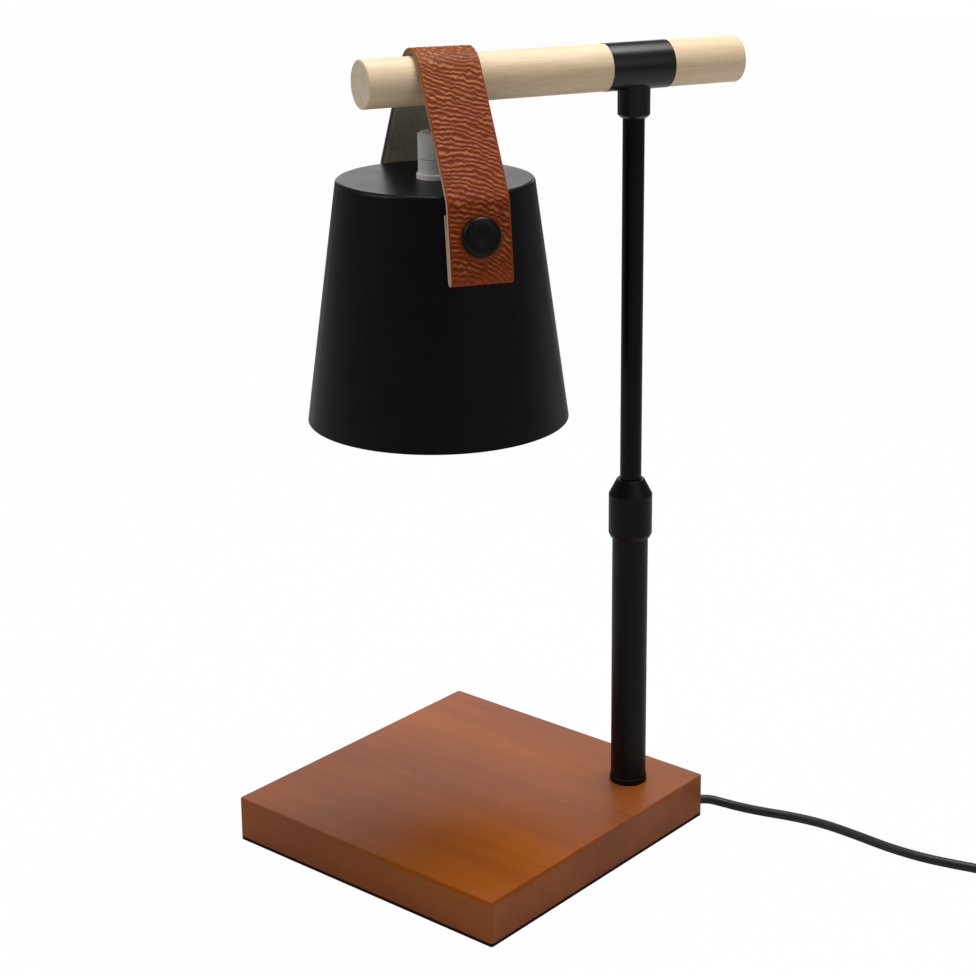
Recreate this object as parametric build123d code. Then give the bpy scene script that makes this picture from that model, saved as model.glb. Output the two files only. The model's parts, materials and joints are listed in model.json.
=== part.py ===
"""Candle warmer lamp: a weighted wooden base, a telescopic post, a wooden arm and a hanging shade.

The origin is the centre of the foot pad's underside, +Z is up, and the sides of the square base lie
along X and Y. The post stands near the +X +Y corner. Lengths are in millimetres, angles in degrees.
Each function returns one sub-part, and the last section writes each to parts/ under its own name.
"""

from build123d import *
from math import acos, atan, atan2, cos, degrees, hypot, pi, radians, sin, tan
import os

# ------------------------------------------------------------------ fits and clearances
running_fit = 0.08  # radial, where a round piece turns or slides in another
fixed_fit = 0.03  # radial, where a round piece is held fast in another
body_gap = 0.3  # between pieces that move past each other without touching
seat_gap = 0.05  # between pieces that are clamped together

# ------------------------------------------------------------------ base
base_side = 150.0
base_thickness = 19.0
base_corner = 1.2  # radius of the block's upright edges
base_edge = 0.6  # radius of the block's top edges
pad_thickness = 1.5
post_inset = 24.5  # post axis in from the two sides of its corner
weight_side = 96.0
weight_thickness = 6.0
weight_offset = 14.0  # centre of the weight away from the post, along X and along Y
weight_corner = 6.0
weight_screw_inset = 12.0
weight_screw_diameter = 3.5
weight_screw_head = 7.0
weight_screw_length = 14.0

# ------------------------------------------------------------------ post
lower_tube_diameter = 16.0
lower_tube_wall = 1.5
lower_tube_length = 135.5
upper_tube_diameter = 9.5
upper_tube_wall = 1.0
upper_tube_length = 243.0
foot_ring_thickness = 0.5
foot_ring_height = 2.8
stud_diameter = 10.0
stud_bore = 7.0
stud_head_height = 8.0
stud_tip = 1.0  # thread that shows below the nut
nut_across_flats = 16.0
nut_thickness = 3.5
nut_room = 5.0  # around the nut in its recess, for a socket spanner
washer_thickness = 1.2
collar_diameter = 19.4
collar_height = 27.2
collar_rim_diameter = 12.2
collar_cone = 7.0
collar_chamfer = 2.0
collar_round = 0.6  # radius of its outer edges
collar_engagement = 17.0  # length of lower tube inside the collar
collet_spigot = 6.0
collet_flange = 1.5
collet_cone = 5.8
collet_lip = 1.2  # wall of the collet at its thin end
collet_slots = 4
collet_slot_width = 0.8
bush_height = 12.0
end_ring_height = 1.8
bead_height = 1.2
bead_size = 0.7

# ------------------------------------------------------------------ arm
arm_above_base = 329.1  # axis of the wooden rod above the base's top face
arm_azimuth = 246.0  # direction of the arm, from +X
rod_diameter = 20.0
rod_reach = 124.5  # post axis to the rod's free end
rod_tail = 49.4  # post axis to the end behind the post
rod_end_round = 0.6
rod_bore = 6.4
sleeve_length = 29.5
sleeve_wall = 1.2
sleeve_step = 0.2  # the sleeve stands this much proud of the rod
socket_diameter = 14.0
socket_drop = 22.0  # rod axis to the lower end of the tee's socket
socket_chamfer = 1.3
long_spigot = 8.0
short_spigot = 10.5
grub_diameter = 3.0
grub_length = 3.4
grub_key_depth = 1.2

# ------------------------------------------------------------------ shade and strap
shade_reach = 92.4  # post axis to the shade's axis
shade_drop = 40.0  # rod axis to the shade's top face
shade_top_diameter = 81.5
shade_bottom_diameter = 109.0
shade_height = 101.2
shade_wall = 1.0
shade_shoulder = 1.5
shade_lip = 1.2  # the rim is folded in by this much
shade_turn = -6.3  # the shade hangs turned by this much about its own axis
swing_limit = 15.0  # the shade swings this far to each side
strap_width = 26.0
strap_thickness = 2.2
strap_slack = 2.0  # the loop's centre hangs this far below the rod's axis
strap_offset = -3.0  # the strap's middle passes the shade's axis on the post's side by this much
strap_bend = 8.0  # radius of the strap's middle where it bends over the shade's shoulder
strap_bend_drop = 2.0  # that bend's corner lies this far below the shade's top
strap_fold_gap = 0.4  # between the two layers of each folded end
strap_end_drop = 75.0  # rod axis to the lowest point of the strap
strap_fold_length = 26.0  # length of the inner layer at each end
button_drop = 56.0  # rod axis to the centre of each button
button_diameter = 16.2
button_dome = 3.2
button_shank = 4.0
button_nut_across_flats = 7.0
button_nut_thickness = 3.0

# ------------------------------------------------------------------ lampholder and bulb
grip_diameter = 14.0
grip_cap_height = 10.6
grip_body_height = 5.9
grip_flange_diameter = 15.4
grip_flange_height = 2.2
grip_seam = 0.2
nipple_diameter = 10.0
nipple_bore = 6.0
bracket_thickness = 1.2
bracket_width = 14.0
holder_diameter = 28.0
holder_flats = 24.0
holder_height = 16.0
holder_drop = 52.0  # rod axis to the top of the lampholder
holder_screw_drop = 5.0  # top of the lampholder to its fixing screws
holder_screw_diameter = 3.0
pin_spacing = 10.0
pin_diameter = 2.6
pin_head_diameter = 4.8
pin_head_height = 2.2
pin_length = 6.6
slot_lip = 2.2
twist_angle = 30.0  # from locked to free
bulb_diameter = 50.0
bulb_length = 49.0  # face to the shoulder under the pins
bulb_neck_diameter = 21.0
bulb_neck_height = 13.0
bulb_glass = 1.2
bulb_rim_height = 4.0  # straight rim of the reflector
bulb_collar_height = 3.0  # the ceramic collar inside the reflector's neck
bulb_collar_gap = 1.6  # clear of the reflector's curve
reflector_lap = 1.0  # the reflector reaches this far up the ceramic neck
pin_seat_depth = 6.0
capsule_seat_depth = 4.0
capsule_diameter = 9.0
capsule_length = 22.0

# ------------------------------------------------------------------ lead, cord, dimmer and plug
lead_diameter = 4.2
lead_bend = 5.5  # radius of the lead's bends inside the arm and the base
groove_angle = 56.0  # direction of the cord's way out of the base, from +X
relief_length = 22.0
relief_outside = 3.5  # length of the strain relief that stands out of the block
relief_root_diameter = 5.7
relief_tip_diameter = 4.9
relief_ribs = 4
relief_rib_gap = 1.2
relief_collar_diameter = 10.0
relief_collar_thickness = 2.4
dimmer_length = 62.0
dimmer_width = 26.0
dimmer_height = 16.0
dimmer_wall = 1.6
dimmer_split = 6.2  # height of the joint between the two half cases, and of the cord's axis
dimmer_corner = 6.0
dimmer_post_diameter = 5.2
dimmer_screw_diameter = 2.2
dimmer_screw_head = 4.4
wheel_diameter = 22.0
wheel_thickness = 5.0
wheel_proud = 2.6  # how far the wheel stands out of the case's side
wheel_grooves = 24
control_side = 12.0
control_shaft = 3.0
coil_layers = 4
coil_pitch = 4.3  # from turn to turn in one layer
coil_inner_turn_radius = 16.8
coil_turn_radius = 28.0  # outer turn
plug_width = 26.0
plug_height = 15.0
plug_length = 24.0
plug_taper = 13.2  # length over which the plug swells to its full width
plug_corner = 3.0
plug_relief_length = 20.0
plug_relief_tip = 6.0
blade_width = 6.3
blade_thickness = 1.5
blade_length = 16.0
blade_spacing = 12.7

# The supply cord between the strain relief and the dimmer, as points (x, y, z) that it bends round.
front_route = [
    (78.9, 88.2, 3.2),
    (88.0, 92.4, 2.3),
    (100.6, 95.4, 2.1),
    (117.0, 98.6, 2.1),
    (138.0, 99.6, 2.1),
    (160.0, 98.1, 2.1),
    (180.5, 99.9, 2.1),
    (200.0, 106.0, 2.1),
    (217.0, 108.2, 2.3),
    (231.0, 105.6, 3.4),
    (241.5, 97.4, 5.4),
]
exit_run = 7.0  # straight run of cord out of the strain relief
dimmer_run = 9.0  # straight run of cord at each end of the dimmer
dimmer_start = (249.0, 80.0)
dimmer_azimuth = -73.0
coil_run = 31.0  # from the dimmer to where the cord joins the coil
tail_angle = 28.0  # where the cord leaves the coil, seen from the coil's centre
tail_length = 30.0
tail_run = 12.0  # straight run of cord into the plug

# ------------------------------------------------------------------ derived values
half_side = base_side / 2
base_top = pad_thickness + base_thickness
post = half_side - post_inset  # the post's X and its Y
tube_bore = lower_tube_diameter / 2 - lower_tube_wall
tube_top = base_top + lower_tube_length
upper_radius = upper_tube_diameter / 2
upper_bore = upper_radius - upper_tube_wall
arm_height = base_top + arm_above_base
rod_radius = rod_diameter / 2
sleeve_radius = rod_radius + sleeve_step
sleeve_bore = sleeve_radius - sleeve_wall
spigot_radius = sleeve_bore - fixed_fit
upper_tube_top = arm_height - sleeve_bore - seat_gap
upper_tube_bottom = upper_tube_top - upper_tube_length
lead_radius = lead_diameter / 2
shade_slope = degrees(atan((shade_bottom_diameter - shade_top_diameter) / 2 / shade_height))
shade_top = -shade_drop  # heights in the shade's frame are measured from the rod's axis
shade_rim = shade_top - shade_height
holder_top = -holder_drop
holder_bottom = holder_top - holder_height
bulb_face = holder_bottom - seat_gap - bulb_length
recess_radius = nut_across_flats / 2 + nut_room
groove_reach = (half_side - post) / sin(radians(groove_angle))  # post axis to the base's rear face
cord_height = pad_thickness + seat_gap + relief_root_diameter / 2  # the lead's centre in the base
relief_end = groove_reach + relief_outside  # from the post's axis
relief_start = relief_end - relief_length

in_post = Location((post, post, 0))
in_arm = Location((post, post, arm_height)) * Rot(0, 0, arm_azimuth)
in_shade = in_arm * Pos(shade_reach, 0, 0) * Rot(0, 0, shade_turn)
in_strap = in_shade * Pos(strap_offset, 0, 0)
in_groove = Location((post, post, cord_height)) * Rot(0, 0, groove_angle)
in_dimmer = Location((*dimmer_start, 0)) * Rot(0, 0, dimmer_azimuth)
in_coil = in_dimmer * Pos(dimmer_length + coil_run, coil_turn_radius, 0)
at_tail = Location(in_coil.position) * Rot(0, 0, tail_angle) * Pos(coil_turn_radius, 0, 0)
in_plug = at_tail * Pos(0, tail_length, 0) * Rot(0, 0, 90)

UP = (Align.CENTER, Align.CENTER, Align.MIN)
DOWN = (Align.CENTER, Align.CENTER, Align.MAX)
OUT = (Align.MIN, Align.CENTER, Align.MIN)  # from the axis outwards, and up
ALONG_X = Rot(0, 90, 0)  # turns a shape that stands along Z to lie along X


# ------------------------------------------------------------------ helpers
def post_rod(radius, low, high):
    """A plain cylinder about Z between two heights."""
    return Pos(0, 0, low) * Cylinder(radius, high - low, align=UP)


def ring(outer, inner, low, high):
    """A tube about Z between two heights."""
    return post_rod(outer, low, high) - post_rod(inner, low - 1, high + 1)


def turned(points):
    """A solid of revolution about Z from the corners (radius, height) of its half section."""
    outline = Polyline([(radius, 0, height) for radius, height in points], close=True)
    return revolve(make_face(outline), Axis.Z)


def hex_nut(across_flats, thickness, bore):
    """A hexagon nut that stands on Z = 0."""
    blank = extrude(RegularPolygon(across_flats / 2, 6, major_radius=False), thickness)
    return blank - post_rod(bore, -1, thickness + 1)


def sunk_screw(diameter, head, length):
    """A countersunk screw with its head's face at Z = 0 and its point up."""
    depth = (head - diameter) / 2
    points = [(0, 0), (head / 2, 0), (diameter / 2, depth), (diameter / 2, length - diameter)]
    return turned(points + [(0, length)])


def sunk_hole(diameter, head, length):
    """The hole that a countersunk screw fits, open below Z = 0."""
    return sunk_screw(diameter + 2 * seat_gap, head + 2 * seat_gap, length + 1)


def lead_along(path):
    """The round lead swept along a path."""
    return sweep(Plane(origin=path @ 0, z_dir=path % 0) * Circle(lead_radius), path=path)


def easy_radii(points):
    """The radius of each corner of a cord's route: 0.45 of its shorter run over tan(half the turn)."""
    places = [Vector(*point) for point in points]
    radii = []
    for before, corner, after in zip(places, places[1:], places[2:]):
        run_in = corner - before
        run_out = after - corner
        half_turn = radians(run_in.get_angle(run_out)) / 2
        radii.append(0.45 * min(run_in.length, run_out.length) / tan(half_turn))
    return radii


def cord_along(name, points):
    """A free stretch of cord. Prints its length and its bends as it is made."""
    radii = easy_radii(points)
    path = FilletPolyline(*points, radius=radii)
    solid = lead_along(path)
    section = pi * lead_radius**2
    print(f"{name}: length {path.length:.1f}, radii {[round(r) for r in radii]},"
          f" volume over section times length {solid.volume / section / path.length:.4f}")
    return solid


# ------------------------------------------------------------------ base
def weight_centre():
    """The middle of the weight's underside, on the pad."""
    return Pos(-weight_offset, -weight_offset, pad_thickness)


def weight_screw_places():
    reach = weight_side / 2 - weight_screw_inset
    return [weight_centre() * Pos(x, y, 0) for x in (-reach, reach) for y in (-reach, reach)]


def groove_tool():
    """The way out for the strain relief, through the block's rear face, and a slot for its collar."""
    return in_groove * (groove_slot(0, 2 * groove_reach, relief_root_diameter)
                        + groove_slot(*collar_span(seat_gap), relief_collar_diameter))


def groove_slot(start, end, diameter):
    """A slot with an arched roof, open below, that a round piece of this diameter fits."""
    radius = diameter / 2 + seat_gap
    roof = Pos(start, 0, 0) * ALONG_X * Cylinder(radius, end - start, align=UP)
    foot = Box(end - start, 2 * radius, cord_height, align=(Align.MIN, Align.CENTER, Align.MAX))
    return roof + Pos(start, 0, 0) * foot


def collar_span(clearance):
    """Where the relief's collar starts and ends, from the post's axis."""
    middle = (recess_radius + groove_reach) / 2
    half = relief_collar_thickness / 2 + clearance
    return middle - half, middle + half


def base_block():
    block = Pos(0, 0, pad_thickness) * Box(base_side, base_side, base_thickness, align=UP)
    block = fillet(block.edges().filter_by(Axis.Z), base_corner)
    block = fillet(block.edges().group_by(Axis.Z)[-1], base_edge)
    pocket_side = weight_side + 2 * body_gap
    pocket = Box(pocket_side, pocket_side, 2 * (weight_thickness + 2 * seat_gap))
    pocket = fillet(pocket.edges().filter_by(Axis.Z), weight_corner)
    block -= weight_centre() * pocket
    block -= in_post * post_rod(recess_radius, 0, recess_roof())
    block -= in_post * post_rod(stud_diameter / 2 + body_gap, 0, base_top + 1)
    block -= groove_tool()
    for place in weight_screw_places():
        block -= place * sunk_hole(weight_screw_diameter, weight_screw_head, weight_screw_length + 1)
    return block


def foot_pad():
    pad = Box(base_side, base_side, pad_thickness, align=UP)
    return fillet(pad.edges().filter_by(Axis.Z), base_corner)


def weight_plate():
    plate = Box(weight_side, weight_side, weight_thickness, align=UP)
    plate = fillet(plate.edges().filter_by(Axis.Z), weight_corner)
    plate = weight_centre() * Pos(0, 0, seat_gap) * plate
    for place in weight_screw_places():
        plate -= place * sunk_hole(weight_screw_diameter, weight_screw_head, weight_screw_length)
    return plate


def weight_screws():
    screw = sunk_screw(weight_screw_diameter, weight_screw_head, weight_screw_length)
    return Compound([place * Pos(0, 0, seat_gap) * screw for place in weight_screw_places()])


# ------------------------------------------------------------------ post
def foot_ring():
    inner = lower_tube_diameter / 2 + fixed_fit
    outer = lower_tube_diameter / 2 + foot_ring_thickness
    solid = ring(outer, inner, base_top, base_top + foot_ring_height)
    rim = solid.edges().filter_by(GeomType.CIRCLE).group_by(Axis.Z)[-1].sort_by(SortBy.RADIUS)[-1]
    return in_post * chamfer(rim, foot_ring_thickness / 2)


def lower_tube():
    tube = ring(lower_tube_diameter / 2, tube_bore, base_top, tube_top)
    return in_post * tube


def post_stud():
    """A hollow stud: its head is held in the tube's lower end, its thread hangs through the block."""
    head = post_rod(tube_bore - fixed_fit, base_top, base_top + stud_head_height)
    thread = post_rod(stud_diameter / 2, stud_end(), base_top)
    return in_post * (head + thread - post_rod(stud_bore / 2, 0, arm_height))


def stud_end():
    """The lowest height at which the stud's bore clears the inside of the lead's bend."""
    inner = lead_bend - lead_radius
    across = lead_bend - (stud_bore / 2 - body_gap)
    return cord_height + lead_bend - max(inner**2 - across**2, 0) ** 0.5


def recess_roof():
    """The roof of the nut's recess in the block."""
    return stud_end() + stud_tip + nut_thickness + washer_thickness


def post_washer():
    low = recess_roof() - washer_thickness
    return in_post * ring(recess_radius - 2, stud_diameter / 2 + seat_gap, low, recess_roof())


def post_nut():
    low = recess_roof() - washer_thickness - nut_thickness
    return in_post * Pos(0, 0, low) * hex_nut(nut_across_flats, nut_thickness, stud_diameter / 2 + fixed_fit)


def collar_bottom():
    return tube_top - collar_engagement


def collet_seat():
    """Height of the collet's cone and its radius at the thick and the thin end."""
    low = tube_top + collet_flange
    return low, lower_tube_diameter / 2 - 0.5, upper_radius + running_fit + collet_lip


def collet():
    """A split nylon ring that the collar's cone squeezes onto the upper tube."""
    low, thick, thin = collet_seat()
    spigot = tube_bore - running_fit
    bore = upper_radius + running_fit
    high = low + collet_cone
    body = turned([
        (bore, tube_top - collet_spigot), (spigot, tube_top - collet_spigot), (spigot, tube_top),
        (thick, tube_top), (thick, low), (thin, high), (bore, high),
    ])
    slot = Pos(0, 0, tube_top + collet_flange / 2) * Box(thick + 1, collet_slot_width, high, align=OUT)
    for turn in range(collet_slots):
        body -= Rot(0, 0, turn * 360 / collet_slots) * slot
    return in_post * body


def height_collar():
    """The lock nut: a threaded skirt round the lower tube and an inner cone round the collet."""
    low = collar_bottom()
    high = low + collar_height
    outer = collar_diameter / 2
    skirt = lower_tube_diameter / 2 + running_fit
    seat, thick, thin = collet_seat()
    hole = upper_radius + body_gap / 2
    body = turned([
        (skirt, low), (outer - collar_chamfer / 2, low), (outer, low + collar_chamfer),
        (outer, high - collar_cone), (collar_rim_diameter / 2, high), (hole, high),
        (hole, seat + collet_cone + body_gap), (thin + running_fit, seat + collet_cone + body_gap),
        (thick + running_fit, seat + body_gap), (skirt, seat + body_gap),
    ])
    circles = body.edges().filter_by(GeomType.CIRCLE)
    outside = circles.filter_by(lambda edge: edge.radius > skirt + 0.5)
    rim = circles.group_by(Axis.Z)[-1].sort_by(SortBy.RADIUS)[-1]
    return in_post * fillet(outside + [rim], collar_round)


def guide_bush():
    """The nylon bush on the upper tube's lower end, which slides in the lower tube."""
    low = upper_tube_bottom + end_ring_height + seat_gap
    solid = ring(tube_bore - running_fit, upper_radius + running_fit, low, low + bush_height)
    return in_post * solid


def tube_end_ring():
    """The ring pressed on the tube's end, which carries the bush."""
    inner = upper_radius + fixed_fit
    outer = tube_bore - 0.4
    return in_post * ring(outer, inner, upper_tube_bottom, upper_tube_bottom + end_ring_height)


def upper_tube():
    """The tube with a rolled bead above the bush."""
    bead = upper_tube_bottom + end_ring_height + 2 * seat_gap + bush_height + bead_height / 2
    tube = ring(upper_radius, upper_bore, upper_tube_bottom, upper_tube_top)
    half = bead_height / 2
    swell = turned([
        (upper_bore + 0.3, bead - half), (upper_radius, bead - half),
        (upper_radius + bead_size, bead), (upper_radius, bead + half), (upper_bore + 0.3, bead + half),
    ])
    return in_post * (tube + swell)


# ------------------------------------------------------------------ arm
def arm_tee():
    """Sleeve and socket in one casting. The upper tube fills the socket, the two rods the sleeve."""
    sleeve = ALONG_X * Cylinder(sleeve_radius, sleeve_length)
    socket = post_rod(socket_diameter / 2, -socket_drop, 0)
    foot = socket.edges().filter_by(GeomType.CIRCLE).sort_by(Axis.Z)[0]
    body = sleeve + chamfer(foot, socket_chamfer)
    body -= ALONG_X * Cylinder(sleeve_bore, sleeve_length + 2)
    body -= post_rod(upper_radius + fixed_fit, -socket_drop - 1, 0)
    body -= socket_screw_place() * screw_bore(socket_diameter)
    for side in (-1, 1):
        body -= rod_screw_hole(side)
    return in_arm * body


def screw_bore(reach):
    """A bore for a grub screw along -Y, from Y = 0 out past a distance."""
    return Rot(90, 0, 0) * Cylinder(grub_diameter / 2 + seat_gap, reach, align=UP)


def socket_screw_place():
    """In the socket's rear wall, with its point on the tube."""
    return Pos(0, -upper_radius - seat_gap, -(socket_drop + sleeve_radius) / 2)


def rod_screw_place(side):
    """Over the middle of one spigot, with its point inside the spigot's rear."""
    spigot = long_spigot if side > 0 else short_spigot
    return Pos(side * (sleeve_length - spigot) / 2, grub_length + sleeve_step - sleeve_radius, 0)


def grub_screw(length):
    """A grub screw that lies along -Y from Y = 0, with a hexagon socket in its outer end."""
    body = Cylinder(grub_diameter / 2, length, align=UP)
    key = extrude(RegularPolygon(grub_diameter / 4, 6, major_radius=False), grub_key_depth)
    return Rot(90, 0, 0) * (body - Pos(0, 0, length - grub_key_depth) * key)


def tee_set_screw():
    length = socket_diameter / 2 - upper_radius - 2 * seat_gap
    return in_arm * socket_screw_place() * grub_screw(length)


def rod_screws():
    """One screw through the sleeve's wall into a shallow hole in each spigot."""
    return Compound([in_arm * rod_screw_place(side) * grub_screw(grub_length) for side in (-1, 1)])


def rod_screw_hole(side):
    """The hole for the screw in the sleeve's wall and the spigot."""
    return rod_screw_place(side) * Pos(0, seat_gap, 0) * screw_bore(sleeve_radius)


def wooden_rod(start, end, spigot):
    """A rod from the sleeve's mouth to a rounded free end, with a spigot turned on its inner end."""
    side = 1 if end > start else -1
    length = abs(end - start)
    body = Cylinder(rod_radius, length, align=UP)
    body = fillet(body.edges().group_by(Axis.Z)[-1], rod_end_round)
    body += Cylinder(spigot_radius, spigot, align=DOWN)
    return Pos(start, 0, 0) * Rot(0, side * 90, 0) * body


def lead_slot():
    """The opening under the rod that the lead swings in: wide across, and long enough for its bend."""
    low = -rod_radius - 1
    narrow = lead_radius + body_gap
    wide = narrow + (-low) * tan(radians(swing_limit + 1))
    outline = Plane.YZ * Polyline((-narrow, 0), (narrow, 0), (wide, low), (-wide, low), close=True)
    length = lead_bend + 2 * lead_radius + 2 * body_gap
    start = shade_reach - lead_bend - lead_radius - body_gap
    return Pos(start, 0, 0) * extrude(make_face(outline), length, dir=(1, 0, 0))


def long_rod():
    """The rod that carries the shade, bored from its spigot to the lead's slot."""
    body = wooden_rod(sleeve_length / 2 + seat_gap, rod_reach, long_spigot)
    bore_end = shade_reach + lead_radius
    body -= ALONG_X * Cylinder(rod_bore / 2, bore_end, align=UP)
    body -= lead_slot()
    return in_arm * (body - rod_screw_hole(1))


def short_rod():
    """The short tail behind the post."""
    body = wooden_rod(-sleeve_length / 2 - seat_gap, -rod_tail, short_spigot)
    return in_arm * (body - rod_screw_hole(-1))


def lead_joint_height():
    """Top of the lead that stays in the base, where the arm's lead begins."""
    return base_top + 0.75 * (arm_height - base_top)


def arm_lead():
    """Up the upper tube, round into the rod and along it, then down towards the shade."""
    path = FilletPolyline(
        (0, 0, lead_joint_height() + seat_gap - arm_height), (0, 0, 0), (shade_reach, 0, 0),
        (shade_reach, 0, -lead_bend - 0.01), radius=[lead_bend, lead_bend],
    )
    return in_arm * lead_along(path)


# ------------------------------------------------------------------ shade and strap
def side_point(height, outward):
    """A point in the shade's Y Z plane, at a height on the cone's front line and a distance off it."""
    radius = shade_top_diameter / 2 + (shade_top - height) * tan(radians(shade_slope))
    slope = radians(shade_slope)
    return (radius + outward * cos(slope), height + outward * sin(slope))


def shade_profile(inset):
    """Half section of the cone, moved in from its outer face by an inset."""
    drop = tan(radians(shade_slope))
    top = shade_top_diameter / 2 - inset / cos(radians(shade_slope)) + inset * drop
    bottom = shade_bottom_diameter / 2 - inset / cos(radians(shade_slope))
    floor = shade_rim - (1 if inset else 0)
    bottom += (1 if inset else 0) * drop
    face = make_face(Polyline(
        (0, 0, shade_top - inset), (top, 0, shade_top - inset), (bottom, 0, floor), (0, 0, floor),
        close=True,
    ))
    corner = face.vertices().group_by(Axis.Z)[-1].sort_by(Axis.X)[-1]
    return fillet(corner, max(shade_shoulder - inset, 0.3))


def shade_shell():
    """A spun cone with a closed top, a rounded shoulder and a narrow lip folded in at the rim."""
    body = revolve(shade_profile(0), Axis.Z) - revolve(shade_profile(shade_wall), Axis.Z)
    inner = shade_bottom_diameter / 2 - shade_wall
    body += ring(inner + shade_wall / 4, inner - shade_lip, shade_rim, shade_rim + shade_wall)
    body -= post_rod(nipple_diameter / 2 + seat_gap, shade_top - 3, 0)
    body = in_shade * body
    for place in button_places():
        body -= place * Cylinder(button_shank / 2 + seat_gap, 12)
    return body


def button_frame():
    """On the cone's front line at the button's height, with Z square to the cone and outwards."""
    y, z = side_point(-button_drop, 0)
    slope = radians(shade_slope)
    return Plane(origin=(0, y, z), x_dir=(1, 0, 0), z_dir=(0, cos(slope), sin(slope))).location


def strap_layers():
    """Distances of the inner and the outer layer's middle from the cone."""
    inner = body_gap + strap_thickness / 2
    return inner, inner + strap_thickness + strap_fold_gap


def button_places():
    """The two buttons' frames, in front and behind."""
    return [in_strap * Rot(0, 0, side) * button_frame() for side in (0, 180)]


def strap_loop():
    """Inner radius of the strap's loop. The rod crosses it at the shade's turn and clears its edges."""
    reach = abs(strap_offset) + strap_width / 2
    return hypot(reach * sin(radians(shade_turn)), strap_slack) + rod_radius + body_gap


def strap_half_line():
    """Middle line of half the strap, from over the rod to the end of the folded layer.

    It goes round the rod, runs straight down and out to the shade's shoulder, and bends over it.
    """
    loop = strap_loop() + strap_thickness / 2
    inner, outer = strap_layers()
    fold = (outer - inner) / 2
    slope = radians(shade_slope)
    turn = -strap_end_drop + strap_thickness / 2 + fold
    corner = side_point(shade_top - strap_bend_drop, outer)
    run = (corner[0], corner[1] + strap_slack)
    leave = atan2(run[1], run[0]) + acos(loop / hypot(*run))
    tangent_point = (loop * cos(leave), loop * sin(leave) - strap_slack)
    low_outer = side_point(turn, outer)
    low_inner = side_point(turn, inner)
    end = side_point(turn + strap_fold_length, inner)
    down = (sin(slope), -cos(slope))
    return [
        CenterArc((0, -strap_slack), loop, degrees(leave), 90 - degrees(leave)),
        *FilletPolyline(tangent_point, corner, low_outer, radius=strap_bend).edges(),
        TangentArc(low_outer, low_inner, tangent=down),
        Line(low_inner, end),
    ]


def strap_half():
    """The half strap: its middle line given a thickness and the strap's width."""
    section = trace(Wire(strap_half_line()), strap_thickness)
    return extrude(Plane.YZ * section, strap_width / 2, both=True)


def strap():
    """Both halves, with the buttons' holes."""
    half = strap_half()
    half -= button_frame() * Cylinder(button_shank / 2 + seat_gap, 40)
    return in_strap * (half + Rot(0, 0, 180) * half)


def button():
    """A domed head on a threaded shank that reaches through both layers and the cone."""
    inner, outer = strap_layers()
    seat = outer + strap_thickness / 2 + seat_gap
    radius = button_diameter / 2
    edge = 1.0
    dome = Spline((radius, 0, seat + edge), (0, 0, seat + button_dome), tangents=[(0, 0, 1), (-1, 0, 0)])
    end = -shade_wall - button_nut_thickness - 1.5
    rest = Polyline(
        (0, 0, seat + button_dome), (0, 0, end), (button_shank / 2, 0, end),
        (button_shank / 2, 0, seat), (radius - 0.3, 0, seat), (radius, 0, seat + edge),
    )
    return revolve(make_face([dome, rest]), Axis.Z)


def strap_buttons():
    return Compound([place * button() for place in button_places()])


def button_nuts():
    """A nut behind the cone on each button's shank, clear of the cone's hollow by the gap."""
    radius = side_point(-button_drop, 0)[0] - shade_wall
    reach = abs(strap_offset) + button_nut_across_flats / 3**0.5
    sag = radius - (radius**2 - reach**2) ** 0.5
    back = -shade_wall - sag - seat_gap
    nut = hex_nut(button_nut_across_flats, button_nut_thickness, button_shank / 2 + fixed_fit)
    seat = Pos(0, 0, back - button_nut_thickness)
    return Compound([place * seat * nut for place in button_places()])


# ------------------------------------------------------------------ cord grip and lampholder
def cord_grip_body():
    """The grip's foot: a flange on the shade's top and a hollow nipple down through it."""
    low = shade_top
    flange = post_rod(grip_flange_diameter / 2, low, low + grip_flange_height)
    flange = fillet(flange.edges().group_by(Axis.Z)[-1], 0.6)
    body = post_rod(grip_diameter / 2, low, low + grip_flange_height + grip_body_height)
    nipple = post_rod(nipple_diameter / 2, nipple_end(), low)
    spigot_top = low + grip_flange_height + grip_body_height + grip_cap_height / 2
    spigot = post_rod(grip_diameter / 2 - 2.5, low, spigot_top)
    return in_shade * (flange + body + nipple + spigot - post_rod(nipple_bore / 2, nipple_end() - 1, 0))


def nipple_end():
    return shade_top - shade_wall - bracket_thickness - nut_thickness - 2.0


def cord_grip_cap():
    """The screwed cap that squeezes the lead, with a small chamfer round its top."""
    low = shade_top + grip_flange_height + grip_body_height + grip_seam
    high = low + grip_cap_height
    cap = post_rod(grip_diameter / 2, low, high)
    cap = chamfer(cap.edges().group_by(Axis.Z)[-1], 0.8)
    spigot_top = low - grip_seam + grip_cap_height / 2 + body_gap
    cap -= post_rod(grip_diameter / 2 - 2.5 + fixed_fit, low - 1, spigot_top)
    return in_shade * (cap - post_rod(lead_radius + fixed_fit, low, high + 1))


def grip_nut():
    high = shade_top - shade_wall - bracket_thickness
    nut = hex_nut(nut_across_flats, nut_thickness, nipple_diameter / 2 + fixed_fit)
    return in_shade * Pos(0, 0, high - nut_thickness) * nut


def holder_screw_height():
    return holder_top - holder_screw_drop


def bracket_span():
    return holder_flats + 2 * seat_gap


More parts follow.
